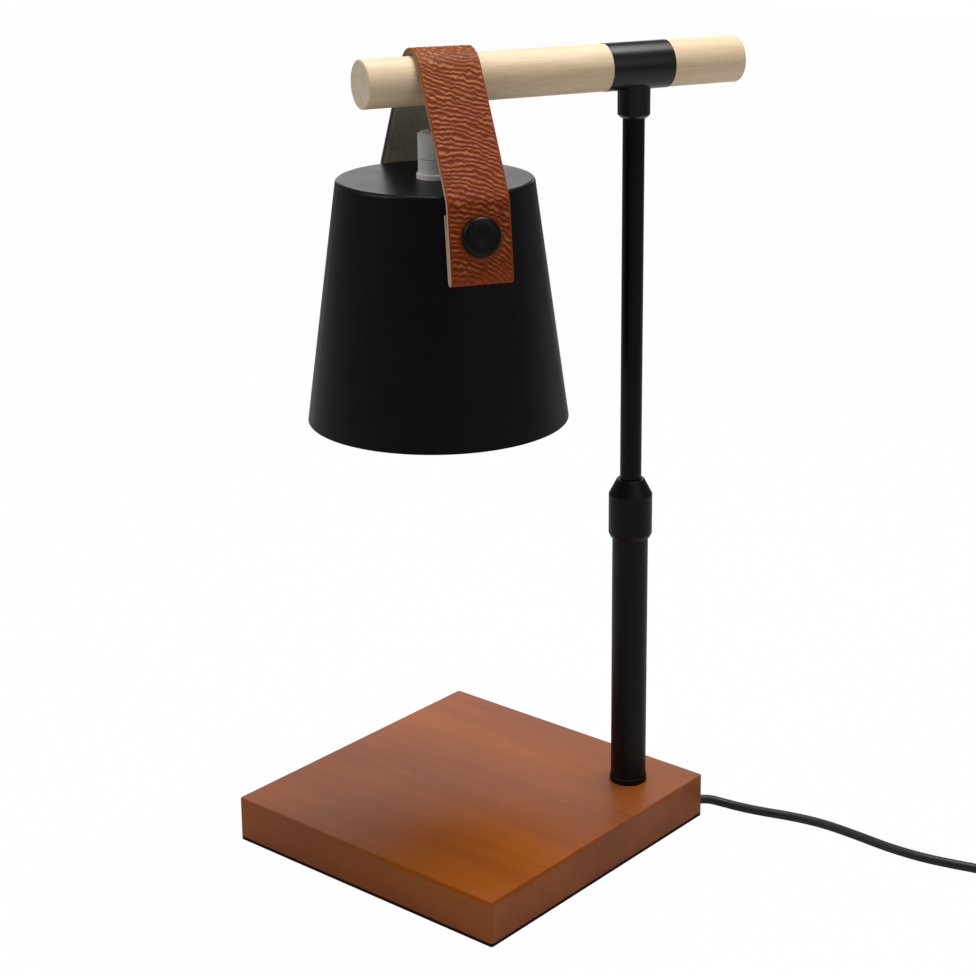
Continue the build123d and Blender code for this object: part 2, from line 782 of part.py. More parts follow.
def socket_bracket():
    """A bent strip: its web is clamped under the shade's top, its two legs hold the lampholder."""
    high = shade_top - shade_wall
    low = holder_screw_height() - 4
    span = bracket_span()
    outer = Pos(0, 0, high) * Box(span + 2 * bracket_thickness, bracket_width, high - low, align=DOWN)
    inner = Pos(0, 0, high - bracket_thickness) * Box(span, bracket_width + 1, high - low, align=DOWN)
    body = fillet((outer - inner).edges().filter_by(Axis.Y).group_by(Axis.Z)[-1], bracket_thickness)
    body -= post_rod(nipple_diameter / 2 + seat_gap, high - 5, high + 1)
    hole = holder_screw_diameter / 2 + seat_gap
    body -= Pos(0, 0, holder_screw_height()) * ALONG_X * Cylinder(hole, 3 * span)
    return in_shade * body


def pan_screw(diameter, length):
    """A pan-headed screw along Z: the head above Z = 0, the shank below."""
    head = Cylinder(diameter * 0.95, diameter * 0.6, align=UP)
    head = fillet(head.edges().group_by(Axis.Z)[-1], diameter * 0.25)
    slot = Pos(0, 0, diameter * 0.35) * Box(2 * diameter, diameter * 0.25, diameter, align=UP)
    return head - slot + Cylinder(diameter / 2, length, align=DOWN)


def socket_screws():
    reach = bracket_span() / 2 + bracket_thickness + seat_gap
    screws = []
    for side in (-1, 1):
        place = Pos(side * reach, 0, holder_screw_height()) * Rot(0, side * 90, 0)
        screws.append(in_shade * place * pan_screw(holder_screw_diameter, 5.0))
    return Compound(screws)


def pin_slots():
    """Two round-ended slots on the pin circle: a narrow lip below, a wide track for the heads above,
    and a wide hole at the free end where the heads go in."""
    circle = pin_spacing / 2
    lip = pin_diameter + 2 * body_gap
    wide = pin_head_diameter + 2 * body_gap
    track = pin_length + 2 * body_gap - slot_lip
    tool = None
    for start in (0, 180):
        arc = CenterArc((0, 0), circle, start, twist_angle)
        low = Pos(0, 0, holder_bottom - 1) * extrude(SlotArc(arc, lip), slot_lip + 1)
        high = Pos(0, 0, holder_bottom + slot_lip) * extrude(SlotArc(arc, wide), track)
        gate = Rot(0, 0, start + twist_angle) * Pos(circle, 0, 0)
        gate = gate * post_rod(wide / 2, holder_bottom - 1, holder_bottom + slot_lip + 1)
        both = low + high + gate
        tool = both if tool is None else tool + both
    return tool


def lamp_socket():
    """The ceramic lampholder: a round block with two flats and the bayonet slots for the bulb's pins."""
    body = post_rod(holder_diameter / 2, holder_bottom, holder_top)
    body = chamfer(body.edges().filter_by(GeomType.CIRCLE), 1.0)
    flat = Box(holder_diameter, holder_diameter, holder_height + 2, align=OUT)
    for turn in (0, 180):
        body -= Rot(0, 0, turn) * Pos(holder_flats / 2, 0, holder_bottom - 1) * flat
    hole = holder_screw_diameter / 2 + seat_gap
    for turn in (-1, 1):
        start = turn * (holder_flats / 2 - 5)
        body -= Pos(start, 0, holder_screw_height()) * Rot(0, turn * 90, 0) * Cylinder(hole, 10, align=UP)
    return in_shade * (body - pin_slots())


def drop_lead():
    """The lead from the rod's slot down through the grip to the lampholder."""
    top = -hypot(lead_bend, lead_radius) - body_gap
    return in_shade * post_rod(lead_radius, holder_top + seat_gap, top)


# ------------------------------------------------------------------ bulb
def bulb_neck_low():
    return holder_bottom - seat_gap - bulb_neck_height


def reflector_line(inset):
    """Curve of the reflector from its rim up to its neck, moved in by an inset."""
    rim = bulb_diameter / 2 - inset
    neck = bulb_neck_diameter / 2 - inset
    low = bulb_face + bulb_rim_height
    high = bulb_neck_low() + reflector_lap
    return [
        Line((rim, 0, bulb_face), (rim, 0, low)),
        Spline((rim, 0, low), (neck, 0, high), tangents=[(0, 0, 1), (-0.35, 0, 1)]),
    ]


def bulb_reflector():
    outer = reflector_line(0)
    inner = reflector_line(bulb_glass)
    base = Line(outer[0] @ 0, inner[0] @ 0)
    top = Line(outer[1] @ 1, inner[1] @ 1)
    return in_shade * revolve(make_face(outer + inner + [base, top]), Axis.Z)


def bulb_lens():
    """The front glass, a shallow dome inside the reflector's rim."""
    radius = bulb_diameter / 2 - bulb_glass - fixed_fit
    low = bulb_face + 0.4
    edge = low + 1.8
    top = edge + 1.0
    dome = TangentArc((0, 0, top), (radius, 0, edge), tangent=(1, 0, 0))
    rest = Polyline((radius, 0, edge), (radius, 0, low), (0, 0, low + 1.2), (0, 0, top))
    return in_shade * revolve(make_face([dome, rest]), Axis.Z)


def bulb_base():
    """The ceramic neck: a narrow collar for the reflector and a broad shoulder under the holder."""
    high = holder_bottom - seat_gap
    outer = bulb_neck_diameter / 2
    collar = outer - bulb_glass - bulb_collar_gap
    bore = capsule_diameter / 2 + fixed_fit
    shoulder = bulb_neck_low() + reflector_lap + seat_gap
    seat = bulb_neck_low() + capsule_seat_depth
    body = turned([
        (bore, shoulder - bulb_collar_height), (collar, shoulder - bulb_collar_height),
        (collar, shoulder), (outer, shoulder), (outer, high - 1), (outer - 1, high), (0, high),
        (0, seat), (bore, seat),
    ])
    hole = post_rod(pin_diameter / 2 + fixed_fit, high - pin_seat_depth, high + 1)
    for x in (-pin_spacing / 2, pin_spacing / 2):
        body -= Pos(x, 0, 0) * hole
    return in_shade * body


def bulb_pins():
    """Two studs with wide heads."""
    high = holder_bottom + pin_length
    stud = post_rod(pin_diameter / 2, holder_bottom - pin_seat_depth, high)
    head = post_rod(pin_head_diameter / 2, high - pin_head_height, high)
    return Compound([in_shade * Pos(x, 0, 0) * (stud + head) for x in (-pin_spacing / 2, pin_spacing / 2)])


def bulb_capsule():
    """The halogen capsule, a round-ended tube held in the neck."""
    high = bulb_neck_low() + capsule_seat_depth - seat_gap
    radius = capsule_diameter / 2
    body = post_rod(radius, high - capsule_length, high)
    return in_shade * fillet(body.edges().group_by(Axis.Z)[0], radius - 0.2)


# ------------------------------------------------------------------ leads in the base and post
def base_lead():
    """From the strain relief's outer end through the groove, then up the hollow stud."""
    high = base_top - cord_height + stud_head_height
    path = FilletPolyline((relief_end, 0, 0), (0, 0, 0), (0, 0, high), radius=[lead_bend])
    return in_groove * lead_along(path)


def post_lead():
    """The straight lead inside the tubes, which takes up the height's change."""
    low = base_top + stud_head_height + seat_gap
    return in_post * post_rod(lead_radius, low, lead_joint_height())


def strain_relief():
    """A tapered rubber sleeve with ribs near its tip. Its collar sits in the groove, on the pad."""
    root = relief_root_diameter / 2
    tip = relief_tip_diameter / 2
    bore = lead_radius + fixed_fit
    body = turned([
        (bore, relief_start), (root, relief_start), (root, groove_reach),
        (tip, relief_end), (bore, relief_end),
    ])
    body += ring(relief_collar_diameter / 2, bore, *collar_span(0))
    pitch = (groove_reach - collar_span(0)[1]) / (relief_ribs + 1)
    for rib in range(1, relief_ribs + 1):
        low = collar_span(0)[1] + rib * pitch
        body -= ring(root + 1, (root + bore) / 2, low, low + relief_rib_gap)
    below = Box(4 * relief_length, base_side, base_side, align=DOWN)
    return in_groove * (ALONG_X * body - Pos(0, 0, -relief_root_diameter / 2) * below)


# ------------------------------------------------------------------ free cord, dimmer and plug
def front_points():
    """The free cord from the strain relief to the dimmer, level where it meets them."""
    start = (in_groove * Pos(relief_end, 0, 0)).position
    second = (in_groove * Pos(relief_end + exit_run, 0, 0)).position
    before = (in_dimmer * Pos(-dimmer_run, 0, dimmer_split)).position
    end = (in_dimmer * Pos(0, 0, dimmer_split)).position
    return [tuple(start), tuple(second)] + front_route + [tuple(before), tuple(end)]


def supply_cord_front():
    return cord_along("supply_cord_front", front_points())


def rear_points():
    """From the dimmer's far end down to the coil's outer turn, which it joins in line."""
    places = [
        (0, dimmer_split), (dimmer_run, dimmer_split),
        (0.7 * coil_run, dimmer_split / 2), (coil_run, lead_radius),
    ]
    return [tuple((in_dimmer * Pos(dimmer_length + along, 0, height)).position) for along, height in places]


def supply_cord_rear():
    return cord_along("supply_cord_rear", rear_points())


def supply_cord_coil():
    """The outer shape of the whole coil: a ring with rounded edges, as high as its layers."""
    turns = coil_layers * (coil_turn_radius - coil_inner_turn_radius) / coil_pitch
    middle = (coil_inner_turn_radius + coil_turn_radius) / 2
    print(f"supply_cord_coil: {turns:.1f} turns, length {2 * pi * middle * turns:.1f}")
    outer = coil_turn_radius + lead_radius
    body = ring(outer, coil_inner_turn_radius - lead_radius, 0, coil_layers * lead_diameter)
    return in_coil * fillet(body.edges().filter_by(GeomType.CIRCLE), lead_radius * 0.9)


def tail_points():
    """From the outer turn of the coil's top layer down to the plug."""
    height = (coil_layers - 0.5) * lead_diameter
    start = at_tail * Pos(0, 0, height)
    places = [start, in_plug * Pos(-tail_run, 0, plug_height / 2), in_plug * Pos(0, 0, plug_height / 2)]
    return [tuple(place.position) for place in places]


def supply_cord_tail():
    return cord_along("supply_cord_tail", tail_points())


def dimmer_shell(low, high):
    """The case between two heights: a rounded block hollowed to its wall."""
    middle = dimmer_length / 2
    blank = Pos(middle, 0, 0) * Box(dimmer_length, dimmer_width, dimmer_height, align=UP)
    blank = fillet(blank.edges().filter_by(Axis.Z), dimmer_corner)
    blank = fillet(blank.edges().group_by(Axis.Z)[-1], 2.0)
    inside = [size - 2 * dimmer_wall for size in (dimmer_length, dimmer_width, dimmer_height)]
    room = Pos(middle, 0, dimmer_wall) * Box(*inside, align=UP)
    room = fillet(room.edges().filter_by(Axis.Z), dimmer_corner - dimmer_wall)
    keep = Pos(middle, 0, low) * Box(2 * dimmer_length, 2 * dimmer_width, high - low, align=UP)
    return (blank - room) & keep


def wheel_place():
    """The wheel's axis, set so that its edge stands out of the case's side."""
    return Pos(dimmer_length / 2, dimmer_width / 2 + wheel_proud - wheel_diameter / 2, 0)


def wheel_low():
    return dimmer_height - dimmer_wall - body_gap - wheel_thickness


def wheel_window():
    """The opening in the side that the wheel comes through."""
    radius = wheel_diameter / 2 + 2 * body_gap
    return wheel_place() * post_rod(radius, wheel_low() - body_gap, wheel_low() + wheel_thickness + body_gap)


def dimmer_screw_places():
    """At two opposite corners of the case."""
    along = dimmer_length / 2 - dimmer_corner - 2
    across = dimmer_width / 2 - dimmer_corner
    return [Pos(dimmer_length / 2 + side * along, side * across, 0) for side in (-1, 1)]


def dimmer_screw_hole(length):
    return sunk_hole(dimmer_screw_diameter, dimmer_screw_head, length)


def dimmer_lower_case():
    """The lower half, with a post for each screw and the cord's holes half in each half."""
    high = dimmer_split - seat_gap
    body = dimmer_shell(0, high)
    for place in dimmer_screw_places():
        body += place * post_rod(dimmer_post_diameter / 2, dimmer_wall / 2, high)
        body -= place * dimmer_screw_hole(dimmer_height)
    return in_dimmer * (body - wheel_window())


def dimmer_upper_case():
    body = dimmer_shell(dimmer_split, dimmer_height)
    body -= wheel_window()
    for place in dimmer_screw_places():
        body += place * post_rod(dimmer_post_diameter / 2, dimmer_split, dimmer_height - dimmer_wall / 2)
        body -= place * dimmer_screw_hole(dimmer_height - 3 * dimmer_wall)
    return in_dimmer * body


def dimmer_screws():
    screw = sunk_screw(dimmer_screw_diameter, dimmer_screw_head, dimmer_height - 4 * dimmer_wall)
    places = [in_dimmer * place * Pos(0, 0, seat_gap) for place in dimmer_screw_places()]
    return Compound([place * screw for place in places])


def dimmer_control():
    """The control on its board, whose shaft the wheel turns on."""
    low = dimmer_wall + seat_gap
    block = Box(control_side, control_side, wheel_low() - body_gap - low, align=UP)
    shaft = post_rod(control_shaft / 2, low, wheel_low() + wheel_thickness - dimmer_wall)
    return in_dimmer * wheel_place() * (Pos(0, 0, low) * block + shaft)


def dimmer_wheel():
    """The thumb wheel, with shallow grooves all round its edge."""
    wheel = Cylinder(wheel_diameter / 2, wheel_thickness, align=UP)
    wheel = chamfer(wheel.edges().filter_by(GeomType.CIRCLE), 0.5)
    groove = Pos(wheel_diameter / 2 + 0.5, 0, -1) * Cylinder(1.0, wheel_thickness + 2, align=UP)
    for turn in range(wheel_grooves):
        wheel -= Rot(0, 0, turn * 360 / wheel_grooves) * groove
    wheel -= post_rod(control_shaft / 2 + running_fit, -1, wheel_thickness - dimmer_wall + body_gap)
    return in_dimmer * wheel_place() * Pos(0, 0, wheel_low()) * wheel


def plug_section(along, width, height):
    """A rounded cross-section of the plug, at a distance from the tip of its strain relief."""
    plane = Plane(origin=(along, 0, plug_height / 2), x_dir=(0, 1, 0), z_dir=(1, 0, 0))
    return plane * RectangleRounded(width, height, plug_corner)


def plug_body():
    """The moulded plug: a tapered strain relief that swells into a flat grip."""
    relief = Cone(plug_relief_tip / 2, plug_height / 2 - 2, plug_relief_length)
    relief = Pos(plug_relief_length / 2, 0, plug_height / 2) * ALONG_X * relief
    small = plug_section(plug_relief_length - 4, plug_height * 0.75, plug_height * 0.7)
    large = plug_section(plug_relief_length + plug_taper, plug_width, plug_height)
    return in_plug * (relief + loft([small, large]) + extrude(large, plug_length - plug_taper))


def plug_blades():
    """Two flat pins with chamfered tips, each with a round hole."""
    start = plug_relief_length + plug_length + seat_gap
    blades = []
    for side in (-1, 1):
        blade = Pos(blade_length / 2, 0, 0) * Box(blade_length, blade_thickness, blade_width)
        tip = blade.edges().filter_by(Axis.Y).group_by(Axis.X)[-1]
        blade = chamfer(tip, 1.4)
        blade -= Pos(blade_length - 4, 0, 0) * Rot(90, 0, 0) * Cylinder(1.6, 3 * blade_thickness)
        blades.append(in_plug * Pos(start, side * blade_spacing / 2, plug_height / 2) * blade)
    return Compound(blades)


# ------------------------------------------------------------------ output
nodes = [
    base_block, foot_pad, weight_plate, weight_screws,
    foot_ring, lower_tube, post_stud, post_washer, post_nut, collet,
    height_collar, guide_bush, upper_tube, tube_end_ring,
    arm_tee, tee_set_screw, rod_screws, long_rod, short_rod, arm_lead,
    shade_shell, strap, strap_buttons, button_nuts, cord_grip_body, cord_grip_cap, grip_nut,
    socket_bracket, socket_screws, lamp_socket, drop_lead,
    bulb_reflector, bulb_lens, bulb_base, bulb_pins, bulb_capsule,
    base_lead, post_lead, strain_relief, supply_cord_front, supply_cord_rear, supply_cord_coil,
    supply_cord_tail, dimmer_lower_case, dimmer_upper_case, dimmer_screws, dimmer_control,
    dimmer_wheel, plug_body, plug_blades,
]

os.makedirs("parts", exist_ok=True)
for make in nodes:
    export_step(make(), f"parts/{make.__name__}.step")
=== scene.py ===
"""Looks of the candle warmer lamp: camera, cords, the lead in the post, the leather strap, materials
and a plain studio.

Lengths are in metres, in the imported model's frame: +Z up, origin under the middle of the base.
"""
import json
import math

import bpy
from mathutils import Matrix, Vector, noise


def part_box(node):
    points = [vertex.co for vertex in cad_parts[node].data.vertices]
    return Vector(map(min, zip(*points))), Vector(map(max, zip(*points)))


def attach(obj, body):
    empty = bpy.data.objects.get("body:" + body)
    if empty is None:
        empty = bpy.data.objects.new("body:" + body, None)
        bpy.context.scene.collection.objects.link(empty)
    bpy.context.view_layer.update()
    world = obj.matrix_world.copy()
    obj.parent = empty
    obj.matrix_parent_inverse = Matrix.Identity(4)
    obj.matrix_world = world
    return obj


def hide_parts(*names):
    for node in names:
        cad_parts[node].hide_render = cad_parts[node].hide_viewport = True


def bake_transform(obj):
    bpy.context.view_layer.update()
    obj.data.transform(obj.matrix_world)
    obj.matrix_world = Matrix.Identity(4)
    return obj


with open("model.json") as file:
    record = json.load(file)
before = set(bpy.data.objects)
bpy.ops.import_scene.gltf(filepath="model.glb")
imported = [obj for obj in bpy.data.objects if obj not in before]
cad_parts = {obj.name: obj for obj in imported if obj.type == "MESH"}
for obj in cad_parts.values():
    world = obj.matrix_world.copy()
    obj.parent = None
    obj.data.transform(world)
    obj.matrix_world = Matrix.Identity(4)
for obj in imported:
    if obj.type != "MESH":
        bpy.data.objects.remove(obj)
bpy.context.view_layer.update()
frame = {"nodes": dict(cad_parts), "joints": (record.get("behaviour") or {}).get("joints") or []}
nodes = frame["nodes"]
joints = {joint["name"]: joint for joint in frame["joints"]}

MM = 0.001

# ------------------------------------------------------------------ camera
image_side = 976  # the photograph's width and height in pixels
camera_place = (0.59405, -0.67611, 0.47210)
camera_azimuth = 38.72  # degrees, turned left from +Y
camera_dip = 15.01  # degrees below the horizon
focal_pixels = 2151.7  # focal length in the photograph's pixels
sensor_width = 36.0  # in millimetres, as Blender has it
frame_shift = (-0.07593, -0.15)

# ------------------------------------------------------------------ cord
cord_diameter = 4.2 * MM
cord_bevel_resolution = 5
cord_path_resolution = 10
# Out of the strain relief, and on over the table to the dimmer.
cord_start = [(0.06897, 0.07790, 0.00440), (0.07230, 0.08280, 0.00430)]
front_route = [
    (0.0785, 0.0866, 0.0027),
    (0.0865, 0.0888, 0.0021),
    (0.0975, 0.0915, 0.0021),
    (0.1110, 0.0962, 0.0021),
    (0.1260, 0.0993, 0.0021),
    (0.1430, 0.0993, 0.0021),
    (0.1600, 0.0983, 0.0021),
    (0.1765, 0.0995, 0.0021),
    (0.1905, 0.1028, 0.0021),
    (0.2020, 0.1064, 0.0021),
    (0.2170, 0.1082, 0.0023),
    (0.2310, 0.1056, 0.0034),
    (0.2415, 0.0974, 0.0054),
]
dimmer_start = (0.249, 0.080)  # middle of the end where the cord arrives
dimmer_azimuth = math.radians(-73.0)
dimmer_length = 62 * MM
dimmer_axis_height = 6.2 * MM
dimmer_run = 9 * MM  # straight on out of the dimmer, at both its ends
coil_run = 31 * MM  # from the dimmer to the coil
coil_outer_turn = 28 * MM  # radius of the outermost turn
coil_inner_turn = 4 * cord_diameter  # about the radius of the innermost turn
coil_pitch = 4.3 * MM  # from turn to turn within a layer
coil_layers = 4
coil_step_up = 0.25  # share of a turn over which the cord rises onto the next layer
coil_turn_points = 16
tail_angle = math.radians(28.0)  # the cord leaves the coil at this place on its rim
tail_length = 30 * MM
tail_run = 12 * MM  # its last stretch, which lies level with the plug
plug_middle = 7.5 * MM  # height of the plug's middle
lead_sides = 24  # of the lead inside the post, and the rings along it
lead_stations = 81

# ------------------------------------------------------------------ stain, a painted reflection and paint
base_top = max(vertex.co.z for vertex in nodes["base_block"].data.vertices)
dark_reflection_place = (0.045, -0.052, base_top)  # middle of the painted reflection patch on the base's top
dark_reflection_reach = (0.086, 0.080, 0.004)  # how far it reaches along X, Y and Z
dark_reflection_core = 0.8  # full strength of the painted reflection from this value of the gradient on, which is 1 in the middle
end_grain_depth = 0.8 * MM  # the rods' paler ends fade in over this run
paint_grain = 0.02 * MM  # height of the powder paint's orange peel

# ------------------------------------------------------------------ strap
rod_radius = 10 * MM
strap_width = 26 * MM
strap_thickness = 2.2 * MM
strap_gap = 0.3 * MM  # to the rod, and to the shade
strap_slack = 2 * MM  # the loop's centre hangs this far below the rod's axis
strap_offset = -3.0 * MM  # along the rod, from the shade's axis
strap_bend = 8 * MM  # radius of its middle where it bends over the shade's shoulder
strap_bend_drop = 2 * MM  # that bend's corner lies this far below the shade's top
strap_fold_gap = 0.4 * MM  # between the two layers of each folded end
strap_fold_length = 25.48 * MM  # the inner layer at each end reaches this far up from the fold
strap_end_drop = 75 * MM  # all drops count from the rod's axis
shade_turn = math.radians(-6.3)  # of the strap and the shade about Z, against the rod
shade_top_drop = 40 * MM
shade_top_radius = 40.75 * MM
shade_bottom_radius = 54.5 * MM
shade_height = 101.2 * MM
cone_slope = math.atan((shade_bottom_radius - shade_top_radius) / shade_height)
button_drop = 56 * MM
button_radius = 8.1 * MM
loop_steps = 40  # on the arc round the rod, then on the bend and on the fold
bend_steps = 16
fold_steps = 30
back_steps = 14  # across the flesh side
grain_step = 0.36 * MM  # spacing of the mesh on the grain side
edge_round = 0.5 * MM
skive_length = 16 * MM  # over this run the strap's ends thin out on the flesh side
skive_end = 0.25  # share of the thickness left at the very end
grain_side, cut_edge, flesh_side = range(3)  # the strap's materials

# ------------------------------------------------------------------ leather's relief, from 0 to 1
ridge_height = 0.3 * MM  # between the relief's 0 and 1
ridge_spacing = 2.15 * MM
ridge_tilt = 0.40  # the ridges slant down towards the post by this share of their run
pebble_size = (2.2 * MM, 1.9 * MM)  # across the strap and along it
pebble_reach = 16 * MM  # from the rod's top, where the pebbles give way to ridges
face_level = 0.6  # lies level with the strap's face
plain_level = 0.55  # where the relief is calm
bare_level = 0.45  # on the cut edges and the flesh side
calm_share = 0.3  # of the relief is left by the button and at the fold
calm_by_button = 2.5 * MM  # the relief comes back over this run outside the button's rim
calm_by_fold = 7 * MM  # and over this height above the fold's margin
fold_margin = 1 * MM  # height above the strap's lowest point
edge_fade = 0.9 * MM  # the relief fades out over this run towards the cut edges

# ------------------------------------------------------------------ studio
surround_strength = 0.18
floor_white = 0.985  # the rest of the floor's look is its lit grey, with the shadow
floor_reach = 3.0  # from its middle to each side
lamp_target = (0.02, 0.0, 0.2)


# ------------------------------------------------------------------ material helpers
def new_material(name):
    """An empty node material with its shader linked to its output."""
    material = bpy.data.materials.new(name)
    material.use_nodes = True
    shader = material.node_tree.nodes["Principled BSDF"]
    return material, material.node_tree, shader


def put(shader, **values):
    """Sets sockets of the shader by name, with underscores for spaces."""
    for name, value in values.items():
        shader.inputs[name.replace("_", " ")].default_value = value


def node(tree, kind, **values):
    """A new node with its properties or its unlinked inputs set by name."""
    made = tree.nodes.new(kind)
    for name, value in values.items():
        if hasattr(made, name):
            setattr(made, name, value)
        else:
            made.inputs[name.replace("_", " ")].default_value = value
    return made


def place_texture(tree, scale=(1, 1, 1), turn=0.0):
    """Coordinates of the row frame, turned about Z and then scaled."""
    source = node(tree, "ShaderNodeTexCoord")
    turned = node(tree, "ShaderNodeMapping", Rotation=(0, 0, -turn))
    scaled = node(tree, "ShaderNodeMapping", Scale=scale)
    tree.links.new(source.outputs["Object"], turned.inputs["Vector"])
    tree.links.new(turned.outputs["Vector"], scaled.inputs["Vector"])
    return scaled.outputs["Vector"]


def noise_texture(tree, vector, scale, detail=3.0, roughness=0.55, distortion=0.0):
    """Cloudy noise from 0 to 1."""
    texture = node(tree, "ShaderNodeTexNoise", Scale=scale, Detail=detail, Roughness=roughness,
                   Distortion=distortion)
    tree.links.new(vector, texture.inputs["Vector"])
    return texture.outputs["Fac"]


def ramp(tree, factor, stops):
    """A colour ramp from (position, colour) stops."""
    made = node(tree, "ShaderNodeValToRGB")
    elements = made.color_ramp.elements
    while len(elements) < len(stops):
        elements.new(0.5)
    for element, (position, colour) in zip(elements, stops):
        element.position = position
        element.color = (*colour, 1)
    tree.links.new(factor, made.inputs["Fac"])
    return made.outputs["Color"]


def spread(tree, factor, low, high):
    """Maps a factor from 0..1 to low..high."""
    made = node(tree, "ShaderNodeMapRange", To_Min=low, To_Max=high)
    tree.links.new(factor, made.inputs["Value"])
    return made.outputs["Result"]


def blend_colours(tree, factor, first, second, mode="MIX"):
    """The first colour with the second mixed in, by a number or by an output."""
    made = node(tree, "ShaderNodeMix", data_type="RGBA", blend_type=mode)
    if isinstance(factor, float):
        made.inputs[0].default_value = factor
    else:
        tree.links.new(factor, made.inputs[0])
    tree.links.new(first, made.inputs[6])
    tree.links.new(second, made.inputs[7])
    return made.outputs[2]


def bump(tree, shader, height, distance):
    """Gives the shader fine relief, where a height of 1 stands out by the distance."""
    made = node(tree, "ShaderNodeBump", Distance=distance)
    tree.links.new(height, made.inputs["Height"])
    tree.links.new(made.outputs["Normal"], shader.inputs["Normal"])


def new_object(name, data):
    """An object of the scene for a mesh, curve, light or camera."""
    made = bpy.data.objects.new(name, data)
    bpy.context.scene.collection.objects.link(made)
    return made


def srgb(red, green, blue):
    """A colour given as 0..255 display values, as the linear values that Blender wants."""
    def linear(value):
        value /= 255
        return value / 12.92 if value <= 0.04045 else ((value + 0.055) / 1.055) ** 2.4
    return (linear(red), linear(green), linear(blue))


# ------------------------------------------------------------------ materials
def powder_coat(name, colour, roughness, specular):
    """Baked powder paint: a fine orange-peel grain, with a little unevenness in its gloss."""
    material, tree, shader = new_material(name)
    vector = place_texture(tree)
    fine = noise_texture(tree, vector, 1900, 2.0)
    broad = noise_texture(tree, vector, 60, 3.0)
    dark = tuple(0.8 * part for part in colour)
    light = tuple(1.2 * part for part in colour)
    tree.links.new(ramp(tree, broad, [(0.3, dark), (0.7, light)]), shader.inputs["Base Color"])
    tree.links.new(spread(tree, broad, roughness - 0.05, roughness + 0.05), shader.inputs["Roughness"])
    put(shader, Specular_IOR_Level=specular)
    bump(tree, shader, fine, paint_grain)
    return material


def base_wood():
    """Brown stained hardwood under satin lacquer: long soft streaks along X and fine pores, and on the top a
    painted reflection of dark things above, as a saturated orange patch with less gloss.
    """
    material, tree, shader = new_material("base_wood")
    streaks = noise_texture(tree, place_texture(tree, (3, 26, 26)), 1.6, 5.0, 0.55, 0.6)
    pores = noise_texture(tree, place_texture(tree, (12, 420, 420)), 1.0, 3.0, 0.6)
    patches = noise_texture(tree, place_texture(tree, (9, 15, 15)), 1.0, 2.0, 0.5, 0.3)
    body = ramp(tree, streaks, [
        (0.30, srgb(118, 58, 24)), (0.5, srgb(141, 74, 31)), (0.72, srgb(158, 88, 38)),
    ])
    warm = ramp(tree, patches, [(0.35, srgb(130, 64, 26)), (0.68, srgb(164, 86, 22))])
    mixed = blend_colours(tree, 0.45, body, warm)
    # painted reflection: where the lacquer would mirror the dark shade above, the wood turns a saturated
    # orange and loses gloss
    glow = painted_dark_reflection(tree)
    reflection_tone = ramp(tree, streaks, [(0.3, srgb(142, 68, 2)), (0.7, srgb(160, 82, 6))])
    mixed = blend_colours(tree, glow, mixed, reflection_tone)
    tree.links.new(spread(tree, glow, 0.22, 0.02), shader.inputs["Specular IOR Level"])
    pore_shade = ramp(tree, pores, [(0.3, (0.80, 0.78, 0.76)), (0.55, (1, 1, 1))])
    tree.links.new(blend_colours(tree, 0.6, mixed, pore_shade, "MULTIPLY"), shader.inputs["Base Color"])
    tree.links.new(spread(tree, streaks, 0.36, 0.48), shader.inputs["Roughness"])
    bump(tree, shader, pores, 0.03 * MM)
    return material


def painted_dark_reflection(tree):
    """1 in the middle of the painted reflection patch on the base's top, 0 outside it and down the sides."""
    source = node(tree, "ShaderNodeTexCoord")
    moved = node(tree, "ShaderNodeVectorMath", operation="SUBTRACT")
    moved.inputs[1].default_value = dark_reflection_place
    flat = node(tree, "ShaderNodeVectorMath", operation="DIVIDE")
    flat.inputs[1].default_value = dark_reflection_reach
    ball = node(tree, "ShaderNodeTexGradient", gradient_type="SPHERICAL")
    tree.links.new(source.outputs["Object"], moved.inputs[0])
    tree.links.new(moved.outputs[0], flat.inputs[0])
    tree.links.new(flat.outputs[0], ball.inputs["Vector"])
    soft = node(tree, "ShaderNodeMapRange", interpolation_type="SMOOTHSTEP", From_Max=dark_reflection_core)
    tree.links.new(ball.outputs["Fac"], soft.inputs["Value"])
    return soft.outputs["Result"]


def rod_wood():
    """Pale beech, clear lacquered: straight grain along the rod with short darker flecks."""
    material, tree, shader = new_material("rod_wood")
    along = math.atan2(joints["shade_swing"]["axis"][1], joints["shade_swing"]["axis"][0])
    bands = noise_texture(tree, place_texture(tree, (14, 260, 260), along), 1.0, 4.0, 0.55, 0.4)
    fibres = noise_texture(tree, place_texture(tree, (60, 1500, 1500), along), 1.0, 3.0, 0.6)
    flecks = noise_texture(tree, place_texture(tree, (150, 1900, 1900), along), 1.0, 1.0)
    body = ramp(tree, bands, [
        (0.28, srgb(226, 198, 160)), (0.5, srgb(234, 208, 172)), (0.72, srgb(240, 219, 187)),
    ])
    fibre_shade = ramp(tree, fibres, [(0.32, (0.91, 0.89, 0.86)), (0.6, (1, 1, 1))])
    fleck_shade = ramp(tree, flecks, [(0.24, (0.72, 0.62, 0.52)), (0.33, (1, 1, 1))])
    mixed = blend_colours(tree, 0.7, body, fibre_shade, "MULTIPLY")
    mixed = blend_colours(tree, 0.6, mixed, fleck_shade, "MULTIPLY")
    rings = noise_texture(tree, place_texture(tree, (60, 260, 260), along), 1.0, 3.0)
    end_grain = ramp(tree, rings, [(0.3, srgb(208, 189, 165)), (0.7, srgb(224, 205, 182))])
    mixed = blend_colours(tree, rod_ends(tree, along), mixed, end_grain)
    tree.links.new(mixed, shader.inputs["Base Color"])
    tree.links.new(spread(tree, fibres, 0.46, 0.58), shader.inputs["Roughness"])
    put(shader, Specular_IOR_Level=0.25)
    bump(tree, shader, fibres, 0.03 * MM)
    return material


